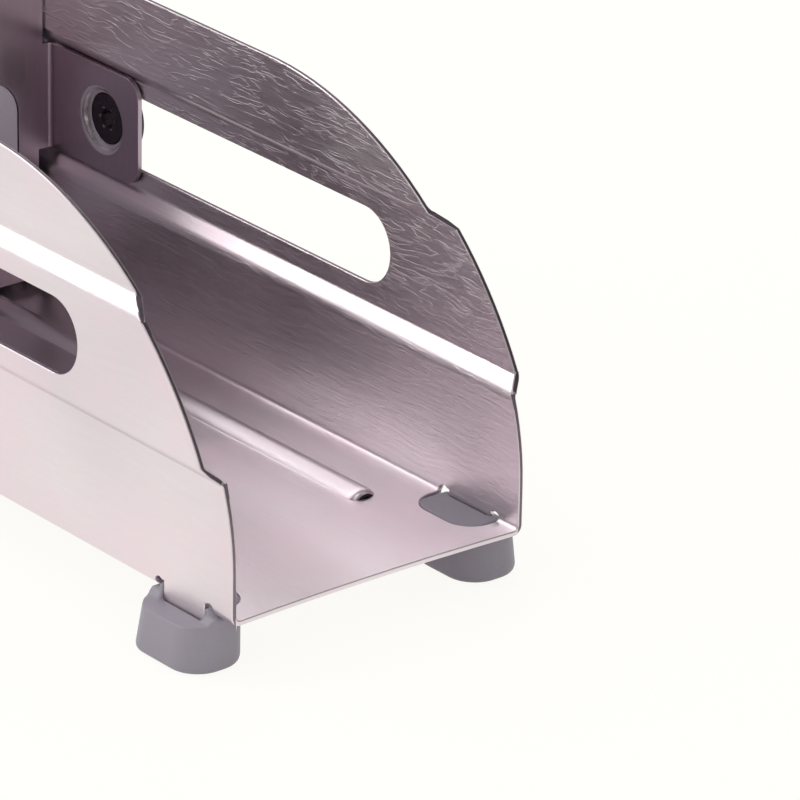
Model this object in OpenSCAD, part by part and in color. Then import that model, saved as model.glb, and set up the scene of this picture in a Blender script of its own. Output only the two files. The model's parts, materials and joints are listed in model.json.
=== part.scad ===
// Lever-operated potato chipper: a bent sheet channel open at the rear, a push block on a
// sliding carrier, a grid of blades at the front and a lever with two links that drives it.
// Axes: +X towards the open rear end, +Y towards the left wall, +Z up. All sizes in mm.
// "s" names are distances from the open end towards the blades; "z" names are heights above
// the underside of the channel floor.

/* [Channel] */
// Width across the outer faces of the lower walls
channel_w = 80; // [76:0.5:90]
// Length of the channel from the open end to the front lips
channel_l = 212; // [208:1:240]
// Height of the side walls above the underside of the floor
wall_h = 84.4; // [82:0.1:95]
// Thickness of the sheet of the channel
sheet_t = 1.2; // [1:0.1:1.5]
// Outside radius of the bend between floor and wall
floor_bend_r = 2.4; // [2:0.1:4]
// Depth of the hollow in the middle of the floor's rear edge
rim_sag = 1.1; // [0.5:0.1:3]

/* [Wall outline] */
// Radius of the round rear end of a wall
end_r = 90.7; // [86:0.1:94]
// Distance from the open end to where the round end meets the flat top
crown_s = 89.1; // [85:0.1:92]
// Distance by which the round end stands further out along the band
band_step = 2; // [0.5:0.1:3]
// Angle at which the top of a wall rises from there towards the blades
top_slope = 1.6; // [0:0.1:2]
// Height of the upright stretch of the open edge above the floor
edge_h = 12; // [6:0.5:14]
// Radius of the open edge between that stretch and the ledge
edge_r = 60; // [55:1:90]
// Radius of the upper front corner of a wall
front_corner_r = 16; // [6:1:24]

/* [Wall band] */
// Height of the lower edge of the ledge
ledge_z = 32.2; // [30:0.1:34]
// Rise of the ledge
ledge_rise = 3.1; // [1.5:0.1:3.4]
// Distance by which the band stands out from the wall
band_out = 3.5; // [3:0.1:4.5]
// Height of the upper edge of the band
band_top_z = 61.9; // [61:0.1:64]
// Rise of the shoulder above the band
shoulder_rise = 3.1; // [2:0.1:4]

/* [Slots] */
// Height of the middle of the slots
slot_z = 48.6; // [47.5:0.05:49.5]
// Width of the slots
slot_w = 17.8; // [17.4:0.1:19]
// Distance from the open end to the rear tip of the slots
slot_tip_s = 50; // [44:0.5:54]

/* [Floor] */
// Distance of each floor bead from the middle of the floor
bead_y = 23; // [18:0.5:25]
// Width of a floor bead
bead_w = 7; // [5:0.5:9]
// Height of a floor bead above the floor
bead_h = 1.8; // [1:0.1:2.4]
// Distance from the open end to the tip of the beads
bead_tip_s = 33; // [30:0.5:40]
// Distance from the open end to the near edge of the foot openings
foot_hole_s = 6.5; // [5:0.5:10]
// Length of the foot openings
foot_hole_l = 20.4; // [19:0.1:21.5]
// Distance that a foot opening reaches into the floor from the outer wall face
foot_hole_w = 10.5; // [8:0.5:12]
// Radius of the inner corners of the foot openings
foot_hole_r = 6.5; // [3:0.5:8]
// Radius of the round reliefs where the wall's tab leaves the bend
relief_r = 1.4; // [1:0.1:1.8]

/* [Feet] */
// Height of the feet below the channel floor
foot_h = 12.8; // [10:0.5:18]
// Distance that a foot reaches past each end of its opening
foot_lap = 1.2; // [0.8:0.1:1.6]
// Distance that a foot stands out from the wall at its sole
foot_out = 6.8; // [5:0.1:7]
// Distance by which the outer face leans in towards the top
foot_lean = 1.5; // [0.5:0.1:2]
// Radius of the foot's corners at the end of the channel
foot_r = 7.5; // [3:0.5:8]
// Radius of the foot's other outer corner
foot_corner_r = 5; // [2:0.5:6]
// Radius of the edge round the sole of a foot
sole_r = 1.5; // [0.5:0.1:2]
// Drop of the foot's shoulder below the channel floor
shoulder_drop = 1.7; // [1:0.1:3]
// Gap between a foot's plug and the inner end of its opening
plug_gap = 1.2; // [0.5:0.1:2]
// Depth of the wall tab that the foot is pushed on
tab_d = 6; // [4:0.5:8]

/* [Carrier] */
// Thickness of the carrier plate
plate_t = 1.2; // [1:0.1:1.5]
// Height of the upper edge of the carrier plate
plate_top_z = 83; // [79:0.5:100]
// Inside radius of the bend between plate and flange
plate_bend_r = 1; // [0.8:0.1:3]
// Height of a carrier flange
flange_h = 26; // [24:0.2:26.2]
// Height of the middle of a flange above the middle of the slots
flange_rise = 0.4; // [0:0.1:0.4]
// Distance from the plate's rear face to the rear edge of a flange
flange_l = 33.7; // [32.5:0.1:40]
// Radius of the rear corners of a flange
flange_r = 5; // [2:0.5:8]
// Distance of the plate's upright edges from the walls below the flanges
plate_inset = 1.6; // [0.8:0.1:3]
// Width of the plate's window
window_w = 63; // [50:0.2:63.4]
// Height of the plate's window
window_h = 42; // [30:0.5:44]
// Height of the middle of the window
window_z = 34.8; // [33:0.1:38]
// Radius of the window's corners
window_r = 9.5; // [4:0.5:11]
// Gap between the carrier and the channel on each side
side_gap = 0.4; // [0.3:0.05:0.6]

/* [Push block] */
// Gap on each side between the push block and the ends of the pivot bolts
block_side_gap = 1.8; // [1.5:0.1:2.2]
// Thickness of the push block's base
block_t = 9.6; // [7:0.2:12]
// Distance between the push block's base and the blade frame when pushed home
home_gap = 17.2; // [15:0.1:18]
// Distance that the pins reach past the front of the blades
pin_reach = 1; // [0.5:0.1:3]
// Gap between a pin and the blades round it
pin_gap = 0.4; // [0.3:0.05:0.8]
// Gap between the push block and the floor beads
block_gap = 0.8; // [0.4:0.1:2]

/* [Blades] */
// Number of cells along each side of the grid
cells = 6; // [5:1:8]
// Distance by which the cells together are wider than the push block
grid_past = 1; // [0.6:0.1:1.5]
// Thickness of a blade
blade_t = 0.8; // [0.5:0.1:1]
// Depth of a blade from edge to edge
blade_d = 8; // [6:0.5:8]
// Depth of the blade frame
frame_d = 9; // [8.5:0.5:12]
// Gap between a front lip of the channel and the cells of the grid
lip_gap = 0.4; // [0.3:0.1:1]
// Radius of the blade screws
frame_screw_r = 2; // [1.5:0.1:2.2]

/* [Slide bolts] */
// Distance from the carrier plate's rear face back to the slide bolts
bolt_back = 19.6; // [18.8:0.1:22]
// Radius of a slide bolt's shank
bolt_r = 3; // [2.5:0.1:3.2]
// Radius of the bolt's countersunk head
bolt_head_r = 6.2; // [5.5:0.1:6.8]
// Radius of the pressed dimple at the face of the flange
dimple_r = 8.3; // [7.6:0.1:8.4]
// Gap between the bush and the edges of the slot
bush_gap = 0.45; // [0.3:0.05:0.8]
// Depth of the bolt's head below the inner face of the flange
head_sink = 1.7; // [1.2:0.1:1.8]
// Distance by which the pressed dimple stands out from the flange
dimple_out = 1.1; // [0.8:0.1:1.2]
// Thickness of a slide washer
washer_t = 0.7; // [0.5:0.1:1.5]
// Height of a domed slide nut
nut_t = 2.3; // [2:0.1:5]
// Radius of a slide nut across its corners
nut_r = 5.4; // [5:0.1:6]

/* [Links] */
// Thickness of a link
link_t = 2.5; // [2:0.1:3]
// Radius of the link's eye round the slide bolt
link_eye_r = 8.8; // [8:0.1:9.2]
// Radius of the link's eye round the crank pin
link_big_r = 10.4; // [10:0.1:11.5]
// Extra play of the crank pin in the link
crank_play = 3.4; // [3.3:0.1:3.6]

/* [Lever] */
// Distance from the front of the channel back to the lever's pivot
pivot_back = 26; // [24:0.5:27]
// Height of the lever's pivot
pivot_z = 10; // [9:0.5:12]
// Radius of a pivot bolt's shank
pivot_r = 4; // [3:0.1:4.5]
// Distance from the lever's pivot back to the crank pins when pushed home
crank_back = 8; // [7:0.5:9]
// Height of the crank pins when pushed home
crank_z = 106; // [105:0.5:108]
// Radius of a crank pin
crank_r = 3; // [2.5:0.1:3]
// Height of the bend of a lever arm when pushed home
elbow_z = 122; // [115:1:130]
// Distance that the middle of the grip hangs past the front of the channel
grip_past = 36; // [24:1:48]
// Height of the middle of the grip when pushed home
grip_z = 205; // [190:1:215]
// Radius of the grip
grip_r = 14; // [11:0.5:16]
// Thickness of a lever arm
arm_t = 3; // [2.5:0.1:4]
// Width of a lever arm
arm_w = 18; // [16:0.5:20]
// Radius of the rod inside the grip
rod_r = 4; // [3:0.1:5]

/* [Hidden] */
$fn = 96;
small_fn = 48;
edge_fn = 180;
large_fn = 720;
eps = 0.01;           // overlap of a cutter past a face
past = 1;             // distance by which a cutter runs past a face
run_gap = 0.3;        // gap between pieces that move past each other
fit_gap = 0.05;       // radial clearance of a shank in its running hole
seat_gap = 0.2;       // gap round a piece that drops into an opening
rest_gap = 0.1;       // gap below a piece that stands on the floor

// Frame: the model's origin is midway along it, at the level of the soles.
grip_s = channel_l + grip_past;
open_x = (grip_s + grip_r) / 2;

// Channel
half_w = channel_w / 2;
inner_y = half_w - sheet_t;
band_y = half_w + band_out;                 // outer face of the band
band_inner_y = band_y - sheet_t;
crown_z = wall_h - end_r;                   // height of the round end's centre
// Height of the wall's top line at the front of the channel
front_h = crown_z + end_r * cos(top_slope)
    + (channel_l - crown_s + end_r * sin(top_slope)) * tan(top_slope);
ledge_top_z = ledge_z + ledge_rise;
ledge_miter = sheet_t * tan(atan2(band_out, ledge_rise) / 2);
shoulder_miter = sheet_t * tan(atan2(band_out, shoulder_rise) / 2);
slot_r = slot_w / 2;
rim_r = (inner_y * inner_y + rim_sag * rim_sag) / (2 * rim_sag);
front_hole_s = channel_l - foot_hole_s - foot_hole_l;

// Places along the channel when pushed home
frame_front_s = channel_l - sheet_t;
frame_back_s = frame_front_s - frame_d;
block_front_s = frame_back_s - home_gap;
plate_front_s = block_front_s - block_t;
plate_s = plate_front_s - plate_t;
bolt_s = plate_s - bolt_back;
pivot_s = channel_l - pivot_back;
crank_s = pivot_s - crank_back;

// Floor beads
bead_r = (bead_w * bead_w / 4 + bead_h * bead_h) / (2 * bead_h);
bead_z = sheet_t + bead_h - bead_r;
bead_front_gap = 10;                        // from a bead's front end to the blade frame
mouth_w = 1;                                // width of the slit round a bead's rear tip
mouth_turn = -40;                           // direction of the middle of that slit

// Feet
foot_s = foot_hole_s - foot_lap;
foot_l = foot_hole_l + 2 * foot_lap;
foot_in_y = half_w - foot_hole_w + seat_gap;
tab_gap = 0.1;                              // gap round the tab in the foot
tab_inset = 2 * relief_r + run_gap;         // from an end of the opening to the tab
shoulder_w = 1.6;                           // width of the steep part of the shoulder
shoulder_fall = 0.12;                       // slope of the rest of the shoulder
under_z = -rest_gap;                        // top of a foot below the floor
plug_z = sheet_t + rest_gap;                // top of a foot's plug

// Stack of pieces outwards from the carrier flange
flange_out_y = band_inner_y - side_gap;
flange_in_y = flange_out_y - plate_t;
bush_r = slot_r - bush_gap;
bush_stand = 0.4;                           // distance by which a bush clears the band
head_y = flange_in_y + head_sink;           // top of the countersunk head
dimple_out_y = flange_out_y + dimple_out;   // end of the pressed dimple
bush_out_y = band_y + bush_stand;
cone_out_y = bush_out_y - seat_gap;         // end of the cone under the bolt's head
key_r = 2.6;                                // hexagon of the slide bolts' key
key_d = 1.8;
link_y = bush_out_y + run_gap;
washer_y = link_y + link_t + run_gap;
washer_r = bolt_r * 2 + seat_gap;
nut_y = washer_y + washer_t;
nut_lid = 0.6;                              // thickness of the nut's closed end
nut_taper = 1;                              // fall of a nut's radius per height
nut_flat_share = 0.4;                       // share of a nut's height below the taper
arm_y = link_y + link_t + 2 * run_gap;
arm_out_y = arm_y + arm_t;

// Carrier and push block
plate_y = inner_y - side_gap;               // half width at and above the flanges
plate_edge_y = inner_y - plate_inset;       // half width below them
plate_bottom_z = sheet_t + bead_h + block_gap;
flange_low_z = slot_z + flange_rise - flange_h / 2;
flange_high_z = flange_low_z + flange_h;
pivot_nut_t = 3.5;
pivot_end = 1;                              // from a pivot nut to the end of its bolt
block_w = 2 * (inner_y - pivot_nut_t - pivot_end - block_side_gap);
block_z = plate_bottom_z + block_w / 2;
block_corner_r = 3;
block_screw_r = 2;
block_screw_y = 14;
block_screw_edge = 4.4;                     // from a screw to the block's edge
block_skin = 1.5;                           // plastic left in front of a block screw

// Heads of the screws, as shares of a screw's radius
head_share = 1.8;
small_head_share = 1.6;
screw_key_share = 0.8;
screw_head_h = 2.2;
screw_key_d = 1.2;

// Blades
grid_w = block_w + grid_past;
cell_pitch = grid_w / cells;
grid_z = block_z;
frame_w = 2 * (inner_y - run_gap);
frame_rim = 7;                              // height of the frame above the cells
frame_top_z = grid_z + grid_w / 2 + frame_rim;
blade_back_s = frame_back_s + (frame_d - blade_d) / 2;
blade_front_s = blade_back_s + blade_d;
blade_seat = 1.5;                           // depth of the blade ends in the frame
notch_gap = 0.05;                           // gap between crossing blades
edge_t = 0.3;                               // thickness of a blade's rear edge
edge_d = 2;                                 // depth of its bevel
pin_w = cell_pitch - blade_t - 2 * pin_gap;
pin_tip_s = blade_front_s + pin_reach;
lip_y = grid_w / 2 + lip_gap;
frame_screw_y = (lip_y + inner_y) / 2;
frame_screw_rise = 8;                       // from the floor to the lower blade screws
frame_screw_z = [sheet_t + frame_screw_rise, grid_z + grid_w / 2 + frame_rim / 2];
frame_screw_skin = 3;                       // frame left behind a blade screw

// Lever
cap_t = 1.2;
cap_inset = 0.8;                            // from the edge of a link's eye to its cap's
crank_head_r = 6;
crank_head_h = 2.2;
crank_taper = 0.75;                         // end radius of a crank head, as a share
pivot_head_h = 4;
pivot_head_r = 7.5;
pivot_taper = 0.8;                          // end radius of a pivot head, as a share
pivot_key_share = 0.72;                     // its key, as a share of the shank
pivot_washer_past = 0.8;                    // from the edge of a pivot head to its washer's
pivot_washer_t = 1;
pivot_nut_r = 7;
arm_eye_rim = 1;                            // the arm's pivot eye stands out by this
spacer_r = 7;
rod_nut_r = 7.5;
rod_nut_t = 3.5;
rod_dome_h = 2.7;
rod_dome_share = 0.8;                       // radius at the foot of a rod nut's dome
rod_tip_share = 0.48;                       // and at its end, as shares of the nut's
grip_half = arm_y - run_gap;
grip_edge = 2;                              // bevel at the ends of the grip

// ---------- placing ----------

// Moves pieces drawn from the open end and the floor's underside into the model's frame.
module in_frame() {
    translate([open_x, 0, foot_h]) children();
}

// Draws the children on the left and mirrored on the right.
module both_sides() {
    children();
    mirror([0, 1, 0]) children();
}

// Puts an outline drawn in side view (along X, upwards) at y, with its thickness outwards.
module side_plate(y, thick) {
    translate([0, y + thick, 0]) rotate([90, 0, 0]) linear_extrude(thick) children();
}

// A cylinder or cone along Y from y0 to y1, at distance s and height z.
module cross_pin(s, z, y0, y1, r0, r1, sides = small_fn) {
    translate([-s, y0, z]) rotate([-90, 0, 0])
        cylinder(h = y1 - y0, r1 = r0, r2 = r1, $fn = sides);
}

// A cylinder along X from s0 (nearer the open end) to s1.
module long_pin(s0, s1, y, z, r, sides = small_fn) {
    translate([-s0, y, z]) rotate([0, -90, 0]) cylinder(h = s1 - s0, r = r, $fn = sides);
}

// A flat bar with round ends between two points given as [s, z].
module bar_outline(a, b, w) {
    run = [b[0] - a[0], b[1] - a[1]];
    side = [-run[1], run[0]] / norm(run) * w / 2;
    polygon([for (p = [a + side, b + side, b - side, a - side]) [-p[0], p[1]]]);
    for (p = [a, b]) translate([-p[0], p[1]]) circle(d = w);
}

// A rectangle with its corners rounded, centred on the origin.
module round_rect(w, h, r) {
    square([w - 2 * r, h], center = true);
    square([w, h - 2 * r], center = true);
    for (x = [-1, 1], y = [-1, 1])
        translate([x * (w / 2 - r), y * (h / 2 - r)]) circle(r, $fn = small_fn);
}

// ---------- channel ----------

// The region inside the sheet's outer faces (inset 0) or inner faces (inset sheet_t).
module channel_region(inset, top, low_miter, high_miter) {
    y = half_w - inset;
    r = floor_bend_r - inset;
    z_low = ledge_z - low_miter;
    z_high = band_top_z + high_miter;
    right = [[y, inset + r], [y, z_low], [y + band_out, z_low + ledge_rise],
             [y + band_out, z_high], [y, z_high + shoulder_rise], [y, top]];
    left = [for (i = [len(right) - 1:-1:0]) [-right[i][0], right[i][1]]];
    polygon(concat(right, left));
    translate([-(y - r), inset]) square([2 * (y - r), r + eps]);
    for (k = [-1, 1]) translate([k * (y - r), inset + r]) circle(r, $fn = small_fn);
}

module channel_section() {
    difference() {
        channel_region(0, wall_h, ledge_miter, shoulder_miter);
        channel_region(sheet_t, wall_h + past, 0, 0);
    }
}

// Where the open edge stands (along X) at height z: below the ledge, or on a round end with
// its centre at distance s.
function low_edge_x(z) = sqrt(edge_r * edge_r - (z - edge_h) * (z - edge_h)) - edge_r;
function round_end_x(z, s) = sqrt(end_r * end_r - (z - crown_z) * (z - crown_z)) - s;

// The round rear end of a wall from z0 to z1, with its centre at distance s.
module round_end(z0, z1, s) {
    intersection() {
        translate([-crown_s, z0]) square([crown_s, z1 - z0]);
        translate([-s, crown_z]) circle(end_r, $fn = edge_fn);
    }
}

// The straight stretch of the open edge over a bend, from [x0, z0] to [x1, z1].
module edge_step(x0, z0, x1, z1) {
    polygon([[-crown_s, z0 - eps], [x0, z0 - eps], [x1, z1 + eps], [-crown_s, z1 + eps]]);
}

// The outline of a wall in side view.
module wall_outline() {
    band_s = crown_s - band_step;
    shoulder_z = band_top_z + shoulder_rise;
    difference() {
        translate([-channel_l, 0]) square([channel_l, ledge_z]);
        translate([-edge_r, edge_h]) difference() {
            square([edge_r + past, ledge_z]);
            circle(edge_r, $fn = edge_fn);
        }
    }
    edge_step(low_edge_x(ledge_z), ledge_z, round_end_x(ledge_top_z, band_s), ledge_top_z);
    round_end(ledge_top_z, band_top_z, band_s);
    edge_step(round_end_x(band_top_z, band_s), band_top_z,
              round_end_x(shoulder_z, crown_s), shoulder_z);
    round_end(shoulder_z, wall_h + past, crown_s);
    difference() {
        polygon([[-crown_s + eps, ledge_z - eps], [-crown_s + eps, crown_z],
                 [-crown_s + end_r * sin(top_slope), crown_z + end_r * cos(top_slope)],
                 [-channel_l, front_h], [-channel_l, ledge_z - eps]]);
        translate([-channel_l - eps, front_h - front_corner_r]) difference() {
            square(front_corner_r + past);
            translate([front_corner_r + eps, 0]) circle(front_corner_r, $fn = small_fn);
        }
    }
}

// The outline, seen from above, of a foot opening on the left, s0 being its near edge.
module foot_hole_outline(s0) {
    inner = half_w - foot_hole_w;
    translate([-s0 - foot_hole_l, inner + foot_hole_r])
        square([foot_hole_l, foot_hole_w - foot_hole_r - sheet_t + eps]);
    translate([-s0 - foot_hole_l + foot_hole_r, inner])
        square([foot_hole_l - 2 * foot_hole_r, foot_hole_w - sheet_t]);
    for (k = [foot_hole_r, foot_hole_l - foot_hole_r])
        translate([-s0 - k, inner + foot_hole_r]) circle(foot_hole_r, $fn = small_fn);
}

// What is cut for one foot on the left: the opening and a round relief at each end of the tab.
module foot_cut(s0) {
    translate([0, 0, -past]) linear_extrude(floor_bend_r + past) foot_hole_outline(s0);
    for (s = [s0 + relief_r, s0 + foot_hole_l - relief_r])
        cross_pin(s, relief_r, inner_y - floor_bend_r, half_w + past, relief_r, relief_r);
}

// The tab of the left wall that a foot is pushed on.
module foot_tab(s0) {
    translate([-s0 - foot_hole_l + tab_inset, inner_y, -tab_d])
        cube([foot_hole_l - 2 * tab_inset, sheet_t, tab_d + floor_bend_r + eps]);
}

module bead(y) {
    s_end = frame_back_s - bead_front_gap;
    translate([0, y, bead_z]) difference() {
        union() {
            long_pin(bead_tip_s + bead_r, s_end - bead_r, 0, 0, bead_r);
            for (s = [bead_tip_s + bead_r, s_end - bead_r]) translate([-s, 0, 0])
                sphere(bead_r, $fn = small_fn);
        }
        translate([-channel_l, -bead_r - past, -2 * bead_r])
            cube([channel_l, 2 * (bead_r + past), 2 * bead_r + sheet_t / 2 - bead_z]);
    }
}

// The hollow below a bead, and the slit left where its rear tip was pressed up.
module bead_hollow(y) {
    r = bead_r - sheet_t;
    tip_r = bead_w / 2;
    translate([0, y, bead_z])
        long_pin(bead_tip_s + bead_r, frame_back_s - bead_front_gap - bead_r, 0, 0, r);
    translate([-bead_tip_s - tip_r, y, -past]) rotate([0, 0, mouth_turn])
        intersection() {
            difference() {
                cylinder(h = bead_h + 2 * past, r = tip_r, $fn = small_fn);
                translate([-mouth_w, 0, -past])
                    cylinder(h = bead_h + 4 * past, r = tip_r, $fn = small_fn);
            }
            translate([0, -tip_r, -past]) cube([tip_r + past, 2 * tip_r, bead_h + 4 * past]);
        }
}

// Round holes through both walls and both front lips.
module shell_holes() {
    both_sides() {
        cross_pin(pivot_s, pivot_z, inner_y - past, half_w + past, pivot_r, pivot_r);
        for (z = frame_screw_z)
            long_pin(channel_l - 2 * sheet_t, channel_l + past, frame_screw_y, z,
                     frame_screw_r + fit_gap);
    }
}

module slot_cut() {
    front_s = bolt_s + run_gap;
    side_plate(half_w - past, band_out + 2 * past)
        bar_outline([slot_tip_s + slot_r, slot_z], [front_s, slot_z], slot_w);
}

// Hollows the rear edge of the floor between the walls.
module rim_cut() {
    intersection() {
        translate([rim_r - rim_sag, 0, -past])
            cylinder(h = floor_bend_r + past, r = rim_r, $fn = large_fn);
        translate([-rim_sag - past, -inner_y, -past])
            cube([rim_sag + 2 * past, 2 * inner_y, floor_bend_r + past]);
    }
}

// The space between the walls' outlines, as wide as the whole channel.
module wall_block() {
    translate([0, band_y + past, 0]) rotate([90, 0, 0])
        linear_extrude(2 * (band_y + past)) wall_outline();
}

// Lips turned in at the front, which hold the blade frame.
module front_lips() {
    intersection() {
        translate([-channel_l, 0, 0]) rotate([90, 0, 90])
            linear_extrude(sheet_t) channel_region(eps, wall_h, ledge_miter, shoulder_miter);
        wall_block();
        both_sides() translate([-channel_l - past, lip_y, sheet_t / 2])
            cube([sheet_t + 2 * past, band_y, wall_h]);
    }
}

module body_shell() color("silver") in_frame() difference() {
    union() {
        difference() {
            intersection() {
                translate([-channel_l, 0, 0]) rotate([90, 0, 90])
                    linear_extrude(channel_l) channel_section();
                wall_block();
            }
            both_sides() for (s0 = [foot_hole_s, front_hole_s]) foot_cut(s0);
            rim_cut();
        }
        both_sides() {
            for (s0 = [foot_hole_s, front_hole_s]) foot_tab(s0);
            bead(bead_y);
        }
        front_lips();
    }
    both_sides() {
        slot_cut();
        bead_hollow(bead_y);
    }
    shell_holes();
}

// ---------- feet ----------

// The rear left foot's outline seen from above, shrunk by an inset. The outer face leans in by
// lean, and the corner towards the middle of the channel is rounder there.
module foot_outline(inset, lean) {
    y1 = half_w + foot_out - inset - lean;
    a = -foot_s - foot_l + inset;
    b = -foot_s - inset;
    r = foot_r - inset;
    corner_r = foot_corner_r - inset + lean;
    hull() {
        translate([b - r, y1 - r]) circle(r, $fn = small_fn);
        translate([b - r, foot_in_y + inset + r]) circle(r, $fn = small_fn);
        translate([a + corner_r, y1 - corner_r]) circle(corner_r, $fn = small_fn);
        translate([a + r, foot_in_y + inset + r]) circle(r, $fn = small_fn);
    }
}

// The foot's body: a rounded sole, then sides that lean in up to the channel's floor.
module foot_body() {
    hull() {
        for (a = [0:30:90]) translate([0, 0, -foot_h + sole_r * (1 - sin(a))])
            linear_extrude(eps) foot_outline(sole_r * (1 - cos(a)), 0);
        translate([0, 0, under_z - eps]) linear_extrude(eps) foot_outline(0, foot_lean);
    }
}

// The plug that fills the opening in the floor, short of its inner end.
module foot_plug() {
    translate([0, -seat_gap, under_z - eps]) linear_extrude(plug_z - under_z + eps)
        intersection() {
            foot_hole_outline(foot_hole_s);
            translate([-foot_hole_s - foot_hole_l + plug_gap, foot_in_y])
                square([foot_hole_l - plug_gap - seat_gap, foot_hole_w]);
            foot_outline(seat_gap, foot_lean);
        }
}

// What is cut from a foot outside the wall: a shoulder, lower along the tab.
module shoulder_cut() {
    run = foot_out + past;
    z = -shoulder_drop;
    translate([-foot_s - foot_l - past, 0, 0]) rotate([90, 0, 90])
        linear_extrude(foot_l + 2 * past)
            polygon([[half_w, under_z], [half_w + shoulder_w, z],
                     [half_w + run, z - (run - shoulder_w) * shoulder_fall],
                     [half_w + run, past], [half_w, past]]);
    translate([-foot_hole_s - foot_hole_l + tab_inset, half_w - eps, z])
        cube([foot_hole_l - 2 * tab_inset, shoulder_w, shoulder_drop + past]);
}

module foot_rear() {
    difference() {
        union() {
            foot_body();
            foot_plug();
        }
        shoulder_cut();
        // slot for the wall's tab
        translate([-foot_hole_s - foot_hole_l + tab_inset - tab_gap, inner_y - tab_gap,
                   -tab_d - run_gap])
            cube([foot_hole_l - 2 * (tab_inset - tab_gap), sheet_t + 2 * tab_gap, 2 * tab_d]);
    }
}

module foot_rear_left() color("gray") in_frame() foot_rear();
module foot_rear_right() color("gray") in_frame() mirror([0, 1, 0]) foot_rear();
module foot_front_left() color("gray") in_frame()
    translate([-channel_l, 0, 0]) mirror([1, 0, 0]) foot_rear();
module foot_front_right() color("gray") in_frame()
    translate([-channel_l, 0, 0]) mirror([1, 0, 0]) mirror([0, 1, 0]) foot_rear();

// ---------- blades ----------

// The places of the blades across the grid, counted from its middle.
function blade_offsets() = [for (i = [1:cells - 1]) (i - cells / 2) * cell_pitch];

module blade_slots(gap) {
    w = grid_w + 2 * blade_seat + 2 * gap;
    for (y = blade_offsets())
        translate([-blade_front_s - gap, y - blade_t / 2 - gap, grid_z - w / 2])
            cube([blade_d + 2 * gap, blade_t + 2 * gap, w]);
    for (z = blade_offsets())
        translate([-blade_front_s - gap, -w / 2, grid_z + z - blade_t / 2 - gap])
            cube([blade_d + 2 * gap, w, blade_t + 2 * gap]);
}

module blade_frame() color("gainsboro") in_frame() difference() {
    z0 = sheet_t + rest_gap;
    depth = frame_d - notch_gap;
    translate([-frame_back_s - depth, -frame_w / 2, z0])
        cube([depth, frame_w, frame_top_z - z0]);
    translate([-frame_front_s - past, -grid_w / 2, grid_z - grid_w / 2])
        cube([frame_d + 2 * past, grid_w, grid_w]);
    blade_slots(0);
    both_sides() for (z = frame_screw_z)
        long_pin(frame_back_s + frame_screw_skin - past, frame_front_s + past, frame_screw_y, z,
                 frame_screw_r);
}

// Upright blades, notched from the front for the level ones.
module vertical_blades() color("whitesmoke") in_frame()
    for (y = blade_offsets()) difference() {
        translate([-blade_front_s, y - blade_t / 2, grid_z - grid_w / 2 - blade_seat])
            cube([blade_d, blade_t, grid_w + 2 * blade_seat]);
        for (z = blade_offsets())
            translate([-blade_front_s - past, y - blade_t,
                       grid_z + z - blade_t / 2 - notch_gap])
                cube([blade_d / 2 + past + notch_gap, 2 * blade_t, blade_t + 2 * notch_gap]);
        blade_bevel(y, 0);
    }

// Level blades, notched from the rear for the upright ones.
module horizontal_blades() color("whitesmoke") in_frame()
    for (z = blade_offsets()) difference() {
        translate([-blade_front_s, -grid_w / 2 - blade_seat, grid_z + z - blade_t / 2])
            cube([blade_d, grid_w + 2 * blade_seat, blade_t]);
        for (y = blade_offsets())
            translate([-blade_front_s + blade_d / 2 - notch_gap, y - blade_t / 2 - notch_gap,
                       grid_z + z - blade_t])
                cube([blade_d / 2 + past + notch_gap, blade_t + 2 * notch_gap, 2 * blade_t]);
        blade_bevel(z, 90);
    }

// Cuts the rear edge of a blade to a wedge; turn is 0 for an upright blade, 90 for a level one.
module blade_bevel(offset, turn) {
    translate([-blade_back_s, 0, grid_z]) rotate([turn, 0, 0])
        for (k = [-1, 1]) translate([0, offset, 0])
            linear_extrude(2 * grid_w, center = true)
                polygon([[-edge_d, k * blade_t / 2], [eps, k * edge_t / 2], [eps, k * blade_t],
                         [-edge_d, k * blade_t]]);
}

module blade_screws() color("silver") in_frame() both_sides()
    for (z = frame_screw_z) {
        long_pin(frame_back_s + frame_screw_skin, channel_l + screw_head_h / 2, frame_screw_y,
                 z, frame_screw_r);
        difference() {
            long_pin(channel_l, channel_l + screw_head_h, frame_screw_y, z,
                     frame_screw_r * small_head_share);
            long_pin(channel_l + screw_head_h - screw_key_d, channel_l + screw_head_h + past,
                     frame_screw_y, z, frame_screw_r * screw_key_share, 6);
        }
    }

// ---------- carrier ----------

// The places of the block screws as [y, z].
function block_screw_places() =
    [for (y = [-block_screw_y, block_screw_y],
          z = [block_z - block_w / 2 + block_screw_edge, block_z + block_w / 2 - block_screw_edge])
        [y, z]];

// The plate's outline seen along the channel, as [y, z].
module plate_outline() {
    difference() {
        union() {
            translate([-plate_edge_y, plate_bottom_z])
                square([2 * plate_edge_y, flange_low_z - plate_bottom_z + eps]);
            translate([-plate_y, flange_low_z])
                square([2 * plate_y, plate_top_z - flange_low_z]);
        }
        translate([0, window_z]) round_rect(window_w, window_h, window_r);
        for (p = block_screw_places())
            translate(p) circle(block_screw_r + fit_gap, $fn = small_fn);
    }
}

module flange_outline() {
    long = flange_l - plate_bend_r;
    x = -plate_s + plate_bend_r;
    translate([x, flange_low_z]) square([long - flange_r, flange_h]);
    translate([x, flange_low_z + flange_r]) square([long, flange_h - 2 * flange_r]);
    for (z = [flange_low_z + flange_r, flange_high_z - flange_r])
        translate([x + long - flange_r, z]) circle(flange_r, $fn = small_fn);
}

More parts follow.
